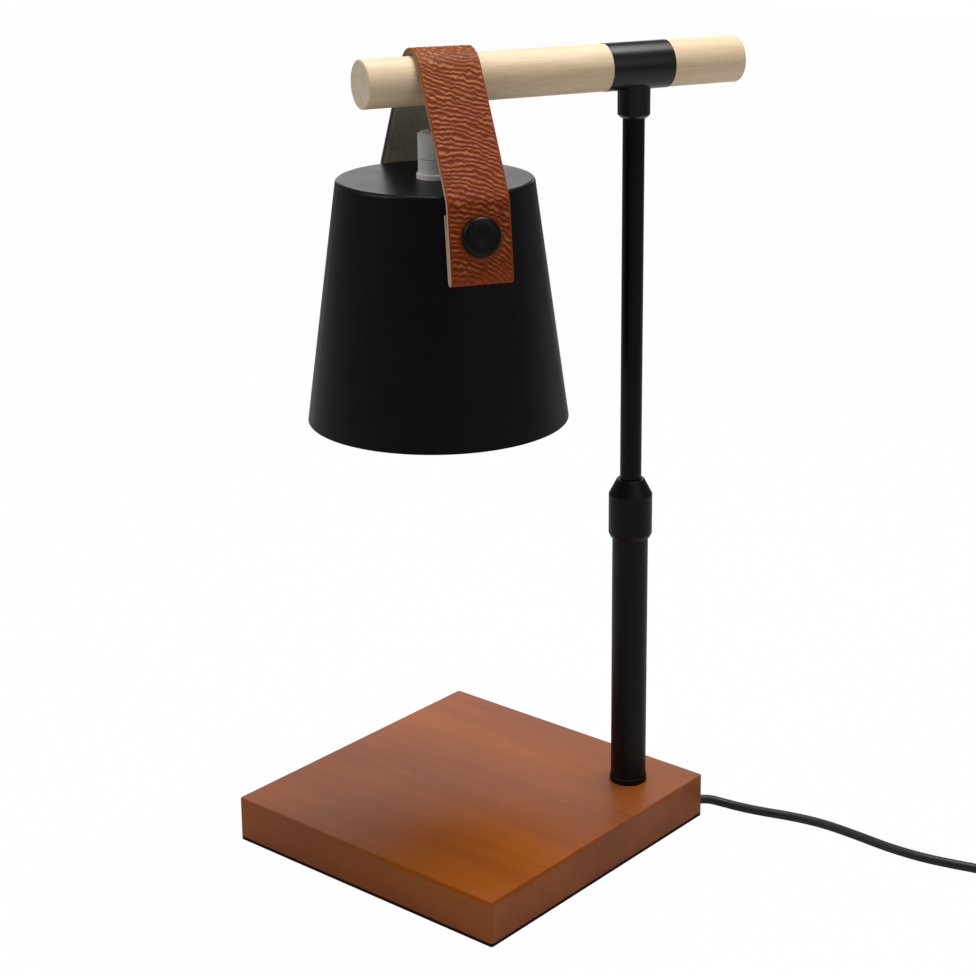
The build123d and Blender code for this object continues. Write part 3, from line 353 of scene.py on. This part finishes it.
def rod_ends(tree, along):
    """1 on the two outer end faces of the rods and 0 along them."""
    axis = Vector((math.cos(along), math.sin(along), 0))
    rods = (nodes["long_rod"], nodes["short_rod"])
    reaches = [vertex.co @ axis for rod in rods for vertex in rod.data.vertices]
    low, high = min(reaches), max(reaches)
    split = node(tree, "ShaderNodeSeparateXYZ")
    tree.links.new(place_texture(tree, turn=along), split.inputs[0])
    centred = node(tree, "ShaderNodeMath", operation="SUBTRACT")
    centred.inputs[1].default_value = (low + high) / 2
    tree.links.new(split.outputs[0], centred.inputs[0])
    reach = node(tree, "ShaderNodeMath", operation="ABSOLUTE")
    tree.links.new(centred.outputs[0], reach.inputs[0])
    edge = (high - low) / 2
    made = node(tree, "ShaderNodeMapRange", From_Min=edge - end_grain_depth, From_Max=edge)
    tree.links.new(reach.outputs[0], made.inputs["Value"])
    return made.outputs["Result"]


def leather_grain():
    """Tan full-grain side, with its tone as painted highlight on the ridges and painted shade in the
    valleys, and a painted sheen over the rod. Its relief is in the mesh.
    """
    material, tree, shader = new_material("leather_grain")
    relief = node(tree, "ShaderNodeAttribute", attribute_name="relief").outputs["Fac"]
    vector = place_texture(tree)
    creases = noise_texture(tree, vector, 1400, 4.0, 0.6)
    broad = noise_texture(tree, vector, 90, 3.0)
    # painted highlight and shade: the tone is pale on the ridges and dark in the valleys
    tone = ramp(tree, relief, [
        (0.05, srgb(106, 37, 0)), (0.40, srgb(132, 50, 1)), (0.70, srgb(154, 70, 14)),
        (0.97, srgb(178, 102, 46)),
    ])
    uneven = ramp(tree, broad, [(0.3, (0.90, 0.86, 0.84)), (0.7, (1, 1, 1))])
    fine = ramp(tree, creases, [(0.3, (0.84, 0.80, 0.78)), (0.55, (1, 1, 1))])
    along = node(tree, "ShaderNodeAttribute", attribute_name="along").outputs["Fac"]
    # painted sheen: the strap is paler and whiter over the rod, where light from above falls on it
    painted_sheen_over_rod = ramp(tree, along, [
        (0.40, (1, 1, 1)), (0.47, (1.05, 1.5, 1.9)), (0.54, (1.05, 1.5, 1.9)), (0.62, (1, 1, 1)),
    ])
    mixed = blend_colours(tree, 0.8, tone, uneven, "MULTIPLY")
    mixed = blend_colours(tree, 1.0, mixed, painted_sheen_over_rod, "MULTIPLY")
    tree.links.new(blend_colours(tree, 0.5, mixed, fine, "MULTIPLY"), shader.inputs["Base Color"])
    tree.links.new(spread(tree, relief, 0.62, 0.46), shader.inputs["Roughness"])
    put(shader, Specular_IOR_Level=0.2)
    bump(tree, shader, creases, 0.04 * MM)
    return material


def leather_edge():
    """The cut edge: dark in the rear half as painted shade, tan down the front half and pale at its folded
    end.
    """
    material, tree, shader = new_material("leather_edge")
    vector = place_texture(tree)
    fibres = noise_texture(tree, vector, 1500, 4.0, 0.65)
    broad = noise_texture(tree, vector, 160, 2.0)
    along = node(tree, "ShaderNodeAttribute", attribute_name="along").outputs["Fac"]
    # painted shade: the rear half's edge is dark for the shade it lies in
    tone = ramp(tree, along, [
        (0.44, srgb(70, 62, 54)), (0.52, srgb(146, 112, 78)), (0.66, srgb(158, 128, 92)),
        (0.76, srgb(198, 176, 158)),
    ])
    frayed = ramp(tree, fibres, [(0.3, (0.80, 0.78, 0.76)), (0.7, (1, 1, 1))])
    tone = blend_colours(tree, 0.7, tone, frayed, "MULTIPLY")
    worn = ramp(tree, broad, [(0.3, (0.85, 0.80, 0.76)), (0.7, (1, 1, 1))])
    tree.links.new(blend_colours(tree, 0.7, tone, worn, "MULTIPLY"), shader.inputs["Base Color"])
    tree.links.new(spread(tree, fibres, 0.7, 0.85), shader.inputs["Roughness"])
    bump(tree, shader, fibres, 0.08 * MM)
    return material


def leather_flesh():
    """The grey suede back of the strap."""
    material, tree, shader = new_material("leather_flesh")
    vector = place_texture(tree)
    nap = noise_texture(tree, vector, 1200, 5.0, 0.7)
    broad = noise_texture(tree, vector, 120, 3.0)
    tone = ramp(tree, nap, [(0.3, srgb(138, 132, 118)), (0.7, srgb(188, 180, 164))])
    uneven = ramp(tree, broad, [(0.3, (0.8, 0.8, 0.8)), (0.7, (1, 1, 1))])
    tree.links.new(blend_colours(tree, 0.8, tone, uneven, "MULTIPLY"), shader.inputs["Base Color"])
    tree.links.new(spread(tree, nap, 0.8, 0.95), shader.inputs["Roughness"])
    put(shader, Specular_IOR_Level=0.2, Sheen_Weight=0.15, Sheen_Roughness=0.5)
    bump(tree, shader, nap, 0.1 * MM)
    return material


def plain_plastic(name, colour, roughness, grain, grain_scale=1500, specular=0.4, **more):
    """Moulded plastic or rubber with a fine spark-eroded texture."""
    material, tree, shader = new_material(name)
    vector = place_texture(tree)
    fine = noise_texture(tree, vector, grain_scale, 2.0)
    broad = noise_texture(tree, vector, 80, 2.0)
    dark = tuple(0.88 * part for part in colour)
    light = tuple(min(1.0, 1.1 * part) for part in colour)
    tree.links.new(ramp(tree, broad, [(0.3, dark), (0.7, light)]), shader.inputs["Base Color"])
    tree.links.new(spread(tree, fine, roughness - 0.04, roughness + 0.06), shader.inputs["Roughness"])
    put(shader, Specular_IOR_Level=specular, **more)
    bump(tree, shader, fine, grain)
    return material


def metal(name, colour, roughness, grain=0.01 * MM):
    """Bare or plated metal with faint tool marks."""
    material, tree, shader = new_material(name)
    marks = noise_texture(tree, place_texture(tree, (1, 1, 12)), 300, 4.0, 0.6)
    dark = tuple(0.8 * part for part in colour)
    tree.links.new(ramp(tree, marks, [(0.3, dark), (0.6, colour)]), shader.inputs["Base Color"])
    tree.links.new(spread(tree, marks, roughness - 0.06, roughness + 0.08), shader.inputs["Roughness"])
    put(shader, Metallic=1.0)
    bump(tree, shader, marks, grain)
    return material


def clear_glass(name):
    """Clear pressed glass with a slight ripple."""
    material, tree, shader = new_material(name)
    ripple = noise_texture(tree, place_texture(tree), 220, 2.0)
    tree.links.new(spread(tree, ripple, 0.03, 0.08), shader.inputs["Roughness"])
    put(shader, Base_Color=(0.95, 0.96, 0.96, 1), Transmission_Weight=1.0, IOR=1.5)
    bump(tree, shader, ripple, 0.02 * MM)
    return material


def dress(material, *names):
    """Gives a material to CAD nodes."""
    for name in names:
        slots = nodes[name].material_slots
        if not slots:
            nodes[name].data.materials.append(material)
        for slot in slots:
            slot.material = material


def dress_outside():
    """Materials of the painted, wooden, foam and nylon outside."""
    dress(powder_coat("upper_tube_paint", srgb(9, 9, 9), 0.42, 0.14), "upper_tube")
    # painted light: a lighter copy of the upper tube's black paint, for the more light that falls on the
    # lower post
    post_paint = powder_coat("post_paint", srgb(14, 13, 12), 0.42, 0.16)
    dress(post_paint, "lower_tube", "height_collar", "foot_ring")
    dress(powder_coat("tee_paint", srgb(4, 4, 4), 0.30, 0.42), "arm_tee")
    dress(powder_coat("shade_paint", srgb(6, 5, 6), 0.38, 0.17), "shade_shell")
    dress(base_wood(), "base_block")
    dress(rod_wood(), "long_rod", "short_rod")
    dress(plain_plastic("pad_foam", srgb(18, 16, 16), 0.85, 0.08 * MM, 900, 0.2), "foot_pad")
    dress(powder_coat("button_paint", srgb(9, 10, 9), 0.34, 0.16), "strap_buttons")
    grip_nylon = plain_plastic("grip_nylon", srgb(230, 230, 225), 0.38, 0.01 * MM, 900, 0.45,
                               Subsurface_Weight=0.3, Subsurface_Radius=(2 * MM, 2 * MM, 2 * MM))
    dress(grip_nylon, "cord_grip_body", "cord_grip_cap")


def dress_inside():
    """Materials of the bushings, the hardware, the weight, the bulb with its socket, and the leads."""
    dress(plain_plastic("nylon", srgb(222, 220, 208), 0.45, 0.01 * MM, 900), "collet", "guide_bush")
    dress(metal("zinc", srgb(178, 180, 182), 0.36), "weight_screws", "post_stud", "post_washer",
          "post_nut", "tube_end_ring", "tee_set_screw", "rod_screws", "button_nuts", "grip_nut",
          "socket_bracket", "socket_screws", "bulb_pins", "dimmer_screws")
    dress(metal("iron", srgb(92, 92, 95), 0.6, 0.05 * MM), "weight_plate")
    dress(metal("reflector", srgb(226, 226, 222), 0.12), "bulb_reflector")
    dress(clear_glass("bulb_glass"), "bulb_lens", "bulb_capsule")
    steatite = plain_plastic("steatite", srgb(230, 226, 214), 0.5, 0.03 * MM, 1300)
    dress(steatite, "lamp_socket", "bulb_base")
    inner_sheath = plain_plastic("cord_sheath_inner", srgb(16, 16, 17), 0.45, 0.01 * MM)
    dress(inner_sheath, "base_lead", "arm_lead", "drop_lead")


def dress_cord_fittings():
    """Materials of the strain relief, the dimmer and the plug."""
    dress(plain_plastic("relief_rubber", srgb(16, 16, 17), 0.55, 0.02 * MM), "strain_relief")
    dimmer_plastic = plain_plastic("dimmer_plastic", srgb(24, 24, 25), 0.5, 0.03 * MM)
    dress(dimmer_plastic, "dimmer_lower_case", "dimmer_upper_case")
    dress(plain_plastic("wheel_plastic", srgb(44, 44, 46), 0.5, 0.02 * MM), "dimmer_wheel")
    dress(plain_plastic("control_board", srgb(30, 90, 50), 0.5, 0.02 * MM), "dimmer_control")
    dress(plain_plastic("plug_rubber", srgb(20, 20, 21), 0.55, 0.03 * MM), "plug_body")
    dress(metal("blade_brass", srgb(214, 200, 160), 0.26), "plug_blades")


# ------------------------------------------------------------------ cords
def in_dimmer(along, height):
    """A point on the dimmer's long axis."""
    return (
        dimmer_start[0] + along * math.cos(dimmer_azimuth),
        dimmer_start[1] + along * math.sin(dimmer_azimuth),
        height,
    )


def coil_centre():
    """Middle of the coil, which lies left of the dimmer's axis with its outermost turn touching it."""
    x, y, _ = in_dimmer(dimmer_length + coil_run, 0)
    return x - coil_outer_turn * math.sin(dimmer_azimuth), y + coil_outer_turn * math.cos(dimmer_azimuth)


def coil_points():
    """Spiral in and out again, layer on layer, from where the cord joins the coil to where it leaves."""
    centre = coil_centre()
    start = dimmer_azimuth - math.pi / 2
    turns_wanted = coil_layers * (coil_outer_turn - coil_inner_turn) / coil_pitch
    turns = math.floor(turns_wanted) + ((tail_angle - start) / (2 * math.pi)) % 1
    count = round(turns * coil_turn_points)
    per_layer = turns / coil_layers
    points = []
    for index in range(count + 1):
        turn = turns * index / count
        layer = min(int(turn / per_layer), coil_layers - 1)
        within = turn - layer * per_layer
        inwards = within if layer % 2 == 0 else per_layer - within
        radius = coil_outer_turn - coil_pitch * inwards
        lift = 0.0
        if layer > 0:
            lift = min(within / coil_step_up, 1.0) - 1.0
        angle = start + turn * 2 * math.pi
        x = centre[0] + radius * math.cos(angle)
        y = centre[1] + radius * math.sin(angle)
        points.append((x, y, cord_diameter * (0.5 + layer + lift)))
    return points


def plug_tail():
    """From the coil's top layer down to the plug, along the tangent where the cord leaves."""
    centre = coil_centre()
    across = Vector((math.cos(tail_angle), math.sin(tail_angle), 0))
    along = Vector((-across.y, across.x, 0))
    leave = Vector((*centre, 0)) + across * coil_outer_turn
    end = leave + along * tail_length
    before = end - along * tail_run
    return [(before.x, before.y, plug_middle), (end.x, end.y, plug_middle)]


def curve_through(name, points, material):
    """A round cord along one smooth line that the points steer."""
    curve = bpy.data.curves.new(name, "CURVE")
    curve.dimensions = "3D"
    curve.bevel_depth = cord_diameter / 2
    curve.bevel_resolution = cord_bevel_resolution
    curve.resolution_u = cord_path_resolution
    curve.use_fill_caps = True
    spline = curve.splines.new("NURBS")
    spline.points.add(len(points) - 1)
    for point, place in zip(spline.points, points):
        point.co = (*place, 1)
    spline.order_u = 3
    spline.use_endpoint_u = True
    curve.materials.append(material)
    return new_object(name, curve)


def strip_faces(around, stations):
    """Faces of a closed strip of rings: quads from ring to ring, then a cap at either end."""
    faces = []
    for station in range(stations - 1):
        low, high = station * around, (station + 1) * around
        for step in range(around):
            after = (step + 1) % around
            faces.append((low + step, low + after, high + after, high + step))
    faces.append(tuple(reversed(range(around))))
    faces.append(tuple((stations - 1) * around + step for step in range(around)))
    return faces


def lead_in_post(material):
    """The lead inside the tubes, as a straight round tube over the height of the CAD lead."""
    low, high = (Vector(corner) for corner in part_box("post_lead"))
    middle = (low + high) / 2
    radius = (high.x - low.x) / 2
    vertices = []
    for station in range(lead_stations):
        height = low.z + (high.z - low.z) * station / (lead_stations - 1)
        for step in range(lead_sides):
            angle = 2 * math.pi * step / lead_sides
            x = middle.x + radius * math.cos(angle)
            y = middle.y + radius * math.sin(angle)
            vertices.append((x, y, height))
    mesh = bpy.data.meshes.new("lead_in_post")
    mesh.from_pydata(vertices, [], strip_faces(lead_sides, lead_stations))
    mesh.materials.append(material)
    mesh.polygons.foreach_set("use_smooth", [len(face.vertices) == 4 for face in mesh.polygons])
    piece = new_object("lead_in_post", mesh)
    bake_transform(piece)
    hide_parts("post_lead")


def lay_front_cord(sheath):
    """From the strain relief to the dimmer."""
    arrive = [in_dimmer(-dimmer_run, dimmer_axis_height), in_dimmer(0, dimmer_axis_height)]
    front = curve_through("cord_to_dimmer", cord_start + front_route + arrive, sheath)
    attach(front, "base")
    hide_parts("supply_cord_front")


def lay_rear_cord(sheath):
    """From the dimmer through the coil to the plug."""
    leave = in_dimmer(dimmer_length, dimmer_axis_height)
    lead_in = [
        leave,
        in_dimmer(dimmer_length + dimmer_run, dimmer_axis_height),
        in_dimmer(dimmer_length + 0.7 * coil_run, dimmer_axis_height / 2),
    ]
    rear = curve_through("cord_to_plug", lead_in + coil_points() + plug_tail(), sheath)
    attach(rear, "base")
    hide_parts("supply_cord_rear", "supply_cord_coil", "supply_cord_tail")


def lay_cords():
    """The supply cord on either side of the dimmer, and the lead inside the post."""
    sheath = plain_plastic("cord_sheath", srgb(17, 17, 18), 0.42, 0.012 * MM, 1200)
    lead_in_post(sheath)
    lay_front_cord(sheath)
    lay_rear_cord(sheath)


# ------------------------------------------------------------------ strap
def cone_point(drop, off):
    """In the strap's plane: a point at a height below the rod's axis and a distance off the cone."""
    radius = shade_top_radius + (drop - shade_top_drop) * math.tan(cone_slope)
    return Vector((radius + off * math.cos(cone_slope), -drop + off * math.sin(cone_slope)))


def arc(centre, radius, start, end, steps):
    """Points on an arc from one angle to another, with both its ends."""
    points = []
    for step in range(steps + 1):
        angle = start + (end - start) * step / steps
        points.append(centre + Vector((math.cos(angle), math.sin(angle))) * radius)
    return points


def half_path():
    """Middle line of the strap's front half: an arc round the rod, a bend over the shade's shoulder and
    the fold at the strap's end, with straight runs between them."""
    crossing = (abs(strap_offset) + strap_width / 2) * math.sin(shade_turn)
    loop = math.hypot(crossing, strap_slack) + rod_radius + strap_gap + strap_thickness / 2
    hang = Vector((0, -strap_slack))
    inner = strap_gap + strap_thickness / 2
    outer = inner + strap_thickness + strap_fold_gap
    fold = (outer - inner) / 2
    fold_drop = strap_end_drop - strap_thickness / 2 - fold
    fold_centre = (cone_point(fold_drop, outer) + cone_point(fold_drop, inner)) / 2
    corner = cone_point(shade_top_drop + strap_bend_drop, outer)
    run = corner - hang
    leave = math.atan2(run.y, run.x) + math.acos(loop / run.length)
    taut = Vector((math.sin(leave), -math.cos(leave)))
    down = Vector((math.sin(cone_slope), -math.cos(cone_slope)))
    turned = taut.angle(down)
    after_bend = corner + down * strap_bend * math.tan(turned / 2)
    bend_centre = after_bend + Vector((down.y, -down.x)) * strap_bend
    points = arc(hang, loop, math.pi / 2, leave, loop_steps)
    points += arc(bend_centre, strap_bend, cone_slope + turned, cone_slope, bend_steps)
    points += arc(fold_centre, fold, cone_slope, cone_slope - math.pi, fold_steps)
    points.append(cone_point(fold_drop - strap_fold_length, inner))
    return points


def even_path():
    """The whole strap's middle line from end to end, as evenly spaced points."""
    front = half_path()
    rear = [Vector((-point.x, point.y)) for point in reversed(front[1:])]
    rough = rear + front
    lengths = [0.0]
    for before, after in zip(rough, rough[1:]):
        lengths.append(lengths[-1] + (after - before).length)
    count = round(lengths[-1] / grain_step)
    even = []
    index = 0
    for step in range(count + 1):
        want = lengths[-1] * step / count
        while index < len(rough) - 2 and lengths[index + 1] < want:
            index += 1
        span = lengths[index + 1] - lengths[index]
        even.append(rough[index].lerp(rough[index + 1], (want - lengths[index]) / span))
    return even, lengths[-1]


def wander(across, along, wide, long, layer):
    """Smooth noise round 0, with its own spacing across the strap and along it."""
    return noise.noise(Vector((across / wide, along / long, layer)))


def ridges(along, across):
    """Height of the ridges: their slant sways, their spacing drifts, their lines jitter and they break."""
    sway = wander(across, along, 30 * MM, 18 * MM, 5.2)
    drift = wander(across, along, 6 * MM, 5 * MM, 0.3)
    jitter = wander(across, along, 1.7 * MM, 2.8 * MM, 7.1)
    breaks = wander(across, along, 2.6 * MM, 1.5 * MM, 3.7)
    run = (along + (ridge_tilt + 0.5 * sway) * across) / ridge_spacing
    wave = 0.5 + 0.5 * math.cos(2 * math.pi * (run + 0.45 * drift + 0.40 * jitter))
    return min(max(wave**1.2 * (0.92 + 0.4 * breaks) + 0.08 * breaks, 0.0), 1.0)


def pebbles(along, across):
    """Height of the rounder pebbles over the rod."""
    wide, long = pebble_size
    nearest, second = noise.voronoi(Vector((across / wide, along / long, 0.0)))[0][:2]
    return min(1.0, 2.2 * (second - nearest))


def relief(along, across, from_rod, from_button, from_fold):
    """Height of the grain: pebbles over the rod, ridges below it, calmer by the button and at the fold."""
    over_rod = max(0.0, 1.0 - from_rod / pebble_reach)
    height = ridges(along, across) * (1 - over_rod) + pebbles(along, across) * over_rod
    by_button = max(0.0, (from_button - button_radius) / calm_by_button)
    by_fold = max(0.0, from_fold / calm_by_fold)
    rough = calm_share + (1 - calm_share) * min(1.0, by_button, by_fold)
    return plain_level + (height - plain_level) * rough


def strap_ring():
    """(across, up, weight of the relief, material) of each point round the strap's section. It starts
    with the grain side, and the second half mirrors the first."""
    half = strap_thickness / 2
    flat = strap_width / 2 - edge_round
    steps = round(2 * flat / grain_step)
    ring = []
    for step in range(steps + 1):
        across = -flat + 2 * flat * step / steps
        ring.append((across, half, min(1.0, (flat - abs(across)) / edge_fade), grain_side))
    side = []
    for turn in (math.radians(30), math.radians(60)):
        across = flat + edge_round * math.sin(turn)
        side.append((across, half - edge_round * (1 - math.cos(turn)), 0, grain_side))
    side += [(flat + edge_round, up, 0, cut_edge) for up in (half - edge_round, 0.0, edge_round - half)]
    ring += side
    ring += [(flat - 2 * flat * step / back_steps, -half, 0, flesh_side) for step in range(back_steps + 1)]
    ring += [(-across, up, weight, material) for across, up, weight, material in reversed(side)]
    return ring


def strap_axes():
    """A point on the rod's axis over the strap's middle, and the directions along the rod and forward."""
    swing = joints["shade_swing"]
    along_rod = Matrix.Rotation(shade_turn, 3, "Z") @ Vector(swing["axis"])
    forward = Vector((0, 0, 1)).cross(along_rod)
    return Vector(swing["pos_m"]) + along_rod * strap_offset, along_rod, forward


def strap_points(ring):
    """The strap's points, ring after ring, the two values that its materials read, and the rings' number."""
    path, length = even_path()
    origin, along_rod, forward = strap_axes()
    vertices, heights, shares = [], [], []
    for index, place in enumerate(path):
        tangent = (path[min(index + 1, len(path) - 1)] - path[max(index - 1, 0)]).normalized()
        normal = Vector((-tangent.y, tangent.x))
        distance = length * index / (len(path) - 1)
        from_end = min(distance, length - distance)
        from_rod = abs(distance - length / 2)
        from_fold = place.y + strap_end_drop - fold_margin
        full = min(1.0, skive_end + (1 - skive_end) * from_end / skive_length)
        for across, up, weight, _ in ring:
            height = bare_level
            if weight:
                from_button = math.hypot(across, place.y + button_drop)
                height = relief(distance, across, from_rod, from_button, from_fold)
            rise = (height - face_level) * ridge_height * weight
            level = strap_thickness / 2 - (strap_thickness / 2 - up) * full
            point = place + normal * (level + rise)
            vertices.append(origin + along_rod * across + forward * point.x + Vector((0, 0, point.y)))
            heights.append(height)
            shares.append(distance / length)
    return vertices, {"relief": heights, "along": shares}, len(path)


def make_strap():
    """The leather strap as one closed strip, with its grain in relief on the outer side."""
    ring = strap_ring()
    vertices, fields, stations = strap_points(ring)
    sides = [material for _, _, _, material in ring]
    around = [side if side == after else cut_edge for side, after in zip(sides, sides[1:] + sides[:1])]
    kinds = around * (stations - 1) + [cut_edge, cut_edge]
    mesh = bpy.data.meshes.new("leather_strap")
    mesh.from_pydata(vertices, [], strip_faces(len(ring), stations))
    mesh.materials.append(leather_grain())
    mesh.materials.append(leather_edge())
    mesh.materials.append(leather_flesh())
    mesh.polygons.foreach_set("material_index", kinds)
    mesh.polygons.foreach_set("use_smooth", [True] * len(kinds))
    for name, values in fields.items():
        attribute = mesh.attributes.new(name, "FLOAT", "POINT")
        attribute.data.foreach_set("value", values)
    mesh.validate()
    mesh.update()
    piece = new_object("leather_strap", mesh)
    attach(piece, "shade")
    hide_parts("strap")


# ------------------------------------------------------------------ studio
def add_camera():
    """The photograph's viewpoint and lens."""
    camera = bpy.data.cameras.new("camera")
    camera.sensor_width = sensor_width
    camera.lens = focal_pixels * sensor_width / image_side
    camera.shift_x, camera.shift_y = frame_shift
    camera.clip_start = 0.05
    holder = new_object("camera", camera)
    holder.location = camera_place
    holder.rotation_euler = (math.radians(90 - camera_dip), 0, math.radians(camera_azimuth))
    bpy.context.scene.camera = holder


def seen_by_camera(tree):
    """1 for what the camera sees, directly or through glass, and 0 for light and in reflections."""
    path = node(tree, "ShaderNodeLightPath")
    either = node(tree, "ShaderNodeMath", operation="MAXIMUM")
    tree.links.new(path.outputs["Is Camera Ray"], either.inputs[0])
    tree.links.new(path.outputs["Is Transmission Ray"], either.inputs[1])
    return either.outputs[0]


def floor_material():
    """White to the camera, apart from a soft share of the object's shadow."""
    material, tree, shader = new_material("floor")
    put(shader, Base_Color=(0.6, 0.6, 0.6, 1), Roughness=0.9, Specular_IOR_Level=0.1)
    glow = node(tree, "ShaderNodeEmission", Strength=1.0)
    seen = seen_by_camera(tree)
    share = node(tree, "ShaderNodeMath", operation="MULTIPLY")
    share.inputs[1].default_value = floor_white
    mix = node(tree, "ShaderNodeMixShader")
    tree.links.new(seen, share.inputs[0])
    tree.links.new(share.outputs[0], mix.inputs[0])
    tree.links.new(shader.outputs[0], mix.inputs[1])
    tree.links.new(glow.outputs[0], mix.inputs[2])
    tree.links.new(mix.outputs[0], tree.nodes["Material Output"].inputs["Surface"])
    return material


def add_floor():
    """A wide square that the lamp stands on."""
    corners = [(x * floor_reach, y * floor_reach, 0) for x, y in ((-1, -1), (1, -1), (1, 1), (-1, 1))]
    mesh = bpy.data.meshes.new("floor")
    mesh.from_pydata(corners, [], [(0, 1, 2, 3)])
    mesh.materials.append(floor_material())
    floor = new_object("floor", mesh)


def add_world():
    """An even pale surround, pure white where the camera sees it."""
    world = bpy.data.worlds.new("surround")
    world.use_nodes = True
    tree = world.node_tree
    lit = tree.nodes["Background"]
    lit.inputs["Color"].default_value = (1, 1, 1, 1)
    lit.inputs["Strength"].default_value = surround_strength
    white = node(tree, "ShaderNodeBackground", Color=(1, 1, 1, 1), Strength=1.0)
    seen = seen_by_camera(tree)
    mix = node(tree, "ShaderNodeMixShader")
    tree.links.new(seen, mix.inputs[0])
    tree.links.new(lit.outputs[0], mix.inputs[1])
    tree.links.new(white.outputs[0], mix.inputs[2])
    tree.links.new(mix.outputs[0], tree.nodes["World Output"].inputs["Surface"])
    bpy.context.scene.world = world


def add_lamp(name, place, target, size, power):
    """A rectangular soft lamp that faces its target."""
    light = bpy.data.lights.new(name, "AREA")
    light.shape = "RECTANGLE"
    light.size, light.size_y = size
    light.energy = power
    holder = new_object(name, light)
    holder.location = place
    holder.rotation_euler = (Vector(target) - Vector(place)).to_track_quat("-Z", "Y").to_euler()


def light_studio():
    """The surround, three soft lamps round the object and a low one behind it."""
    add_world()
    add_lamp("key", (-0.7, -1.1, 1.2), lamp_target, (0.9, 0.9), 8.0)
    add_lamp("side", (1.3, -0.15, 0.9), lamp_target, (0.7, 0.9), 2.3)
    add_lamp("top", (0.1, 0.3, 1.6), lamp_target, (0.8, 0.8), 21.5)
    add_lamp("rear", (-1.1, 1.25, 0.58), (-0.1, -0.05, 0.5), (1.4, 0.36), 4.2)


# ------------------------------------------------------------------ assembly
bpy.context.scene.view_settings.view_transform = "Standard"
add_camera()
lay_cords()
make_strap()
dress_outside()
dress_inside()
dress_cord_fittings()
add_floor()
light_studio()
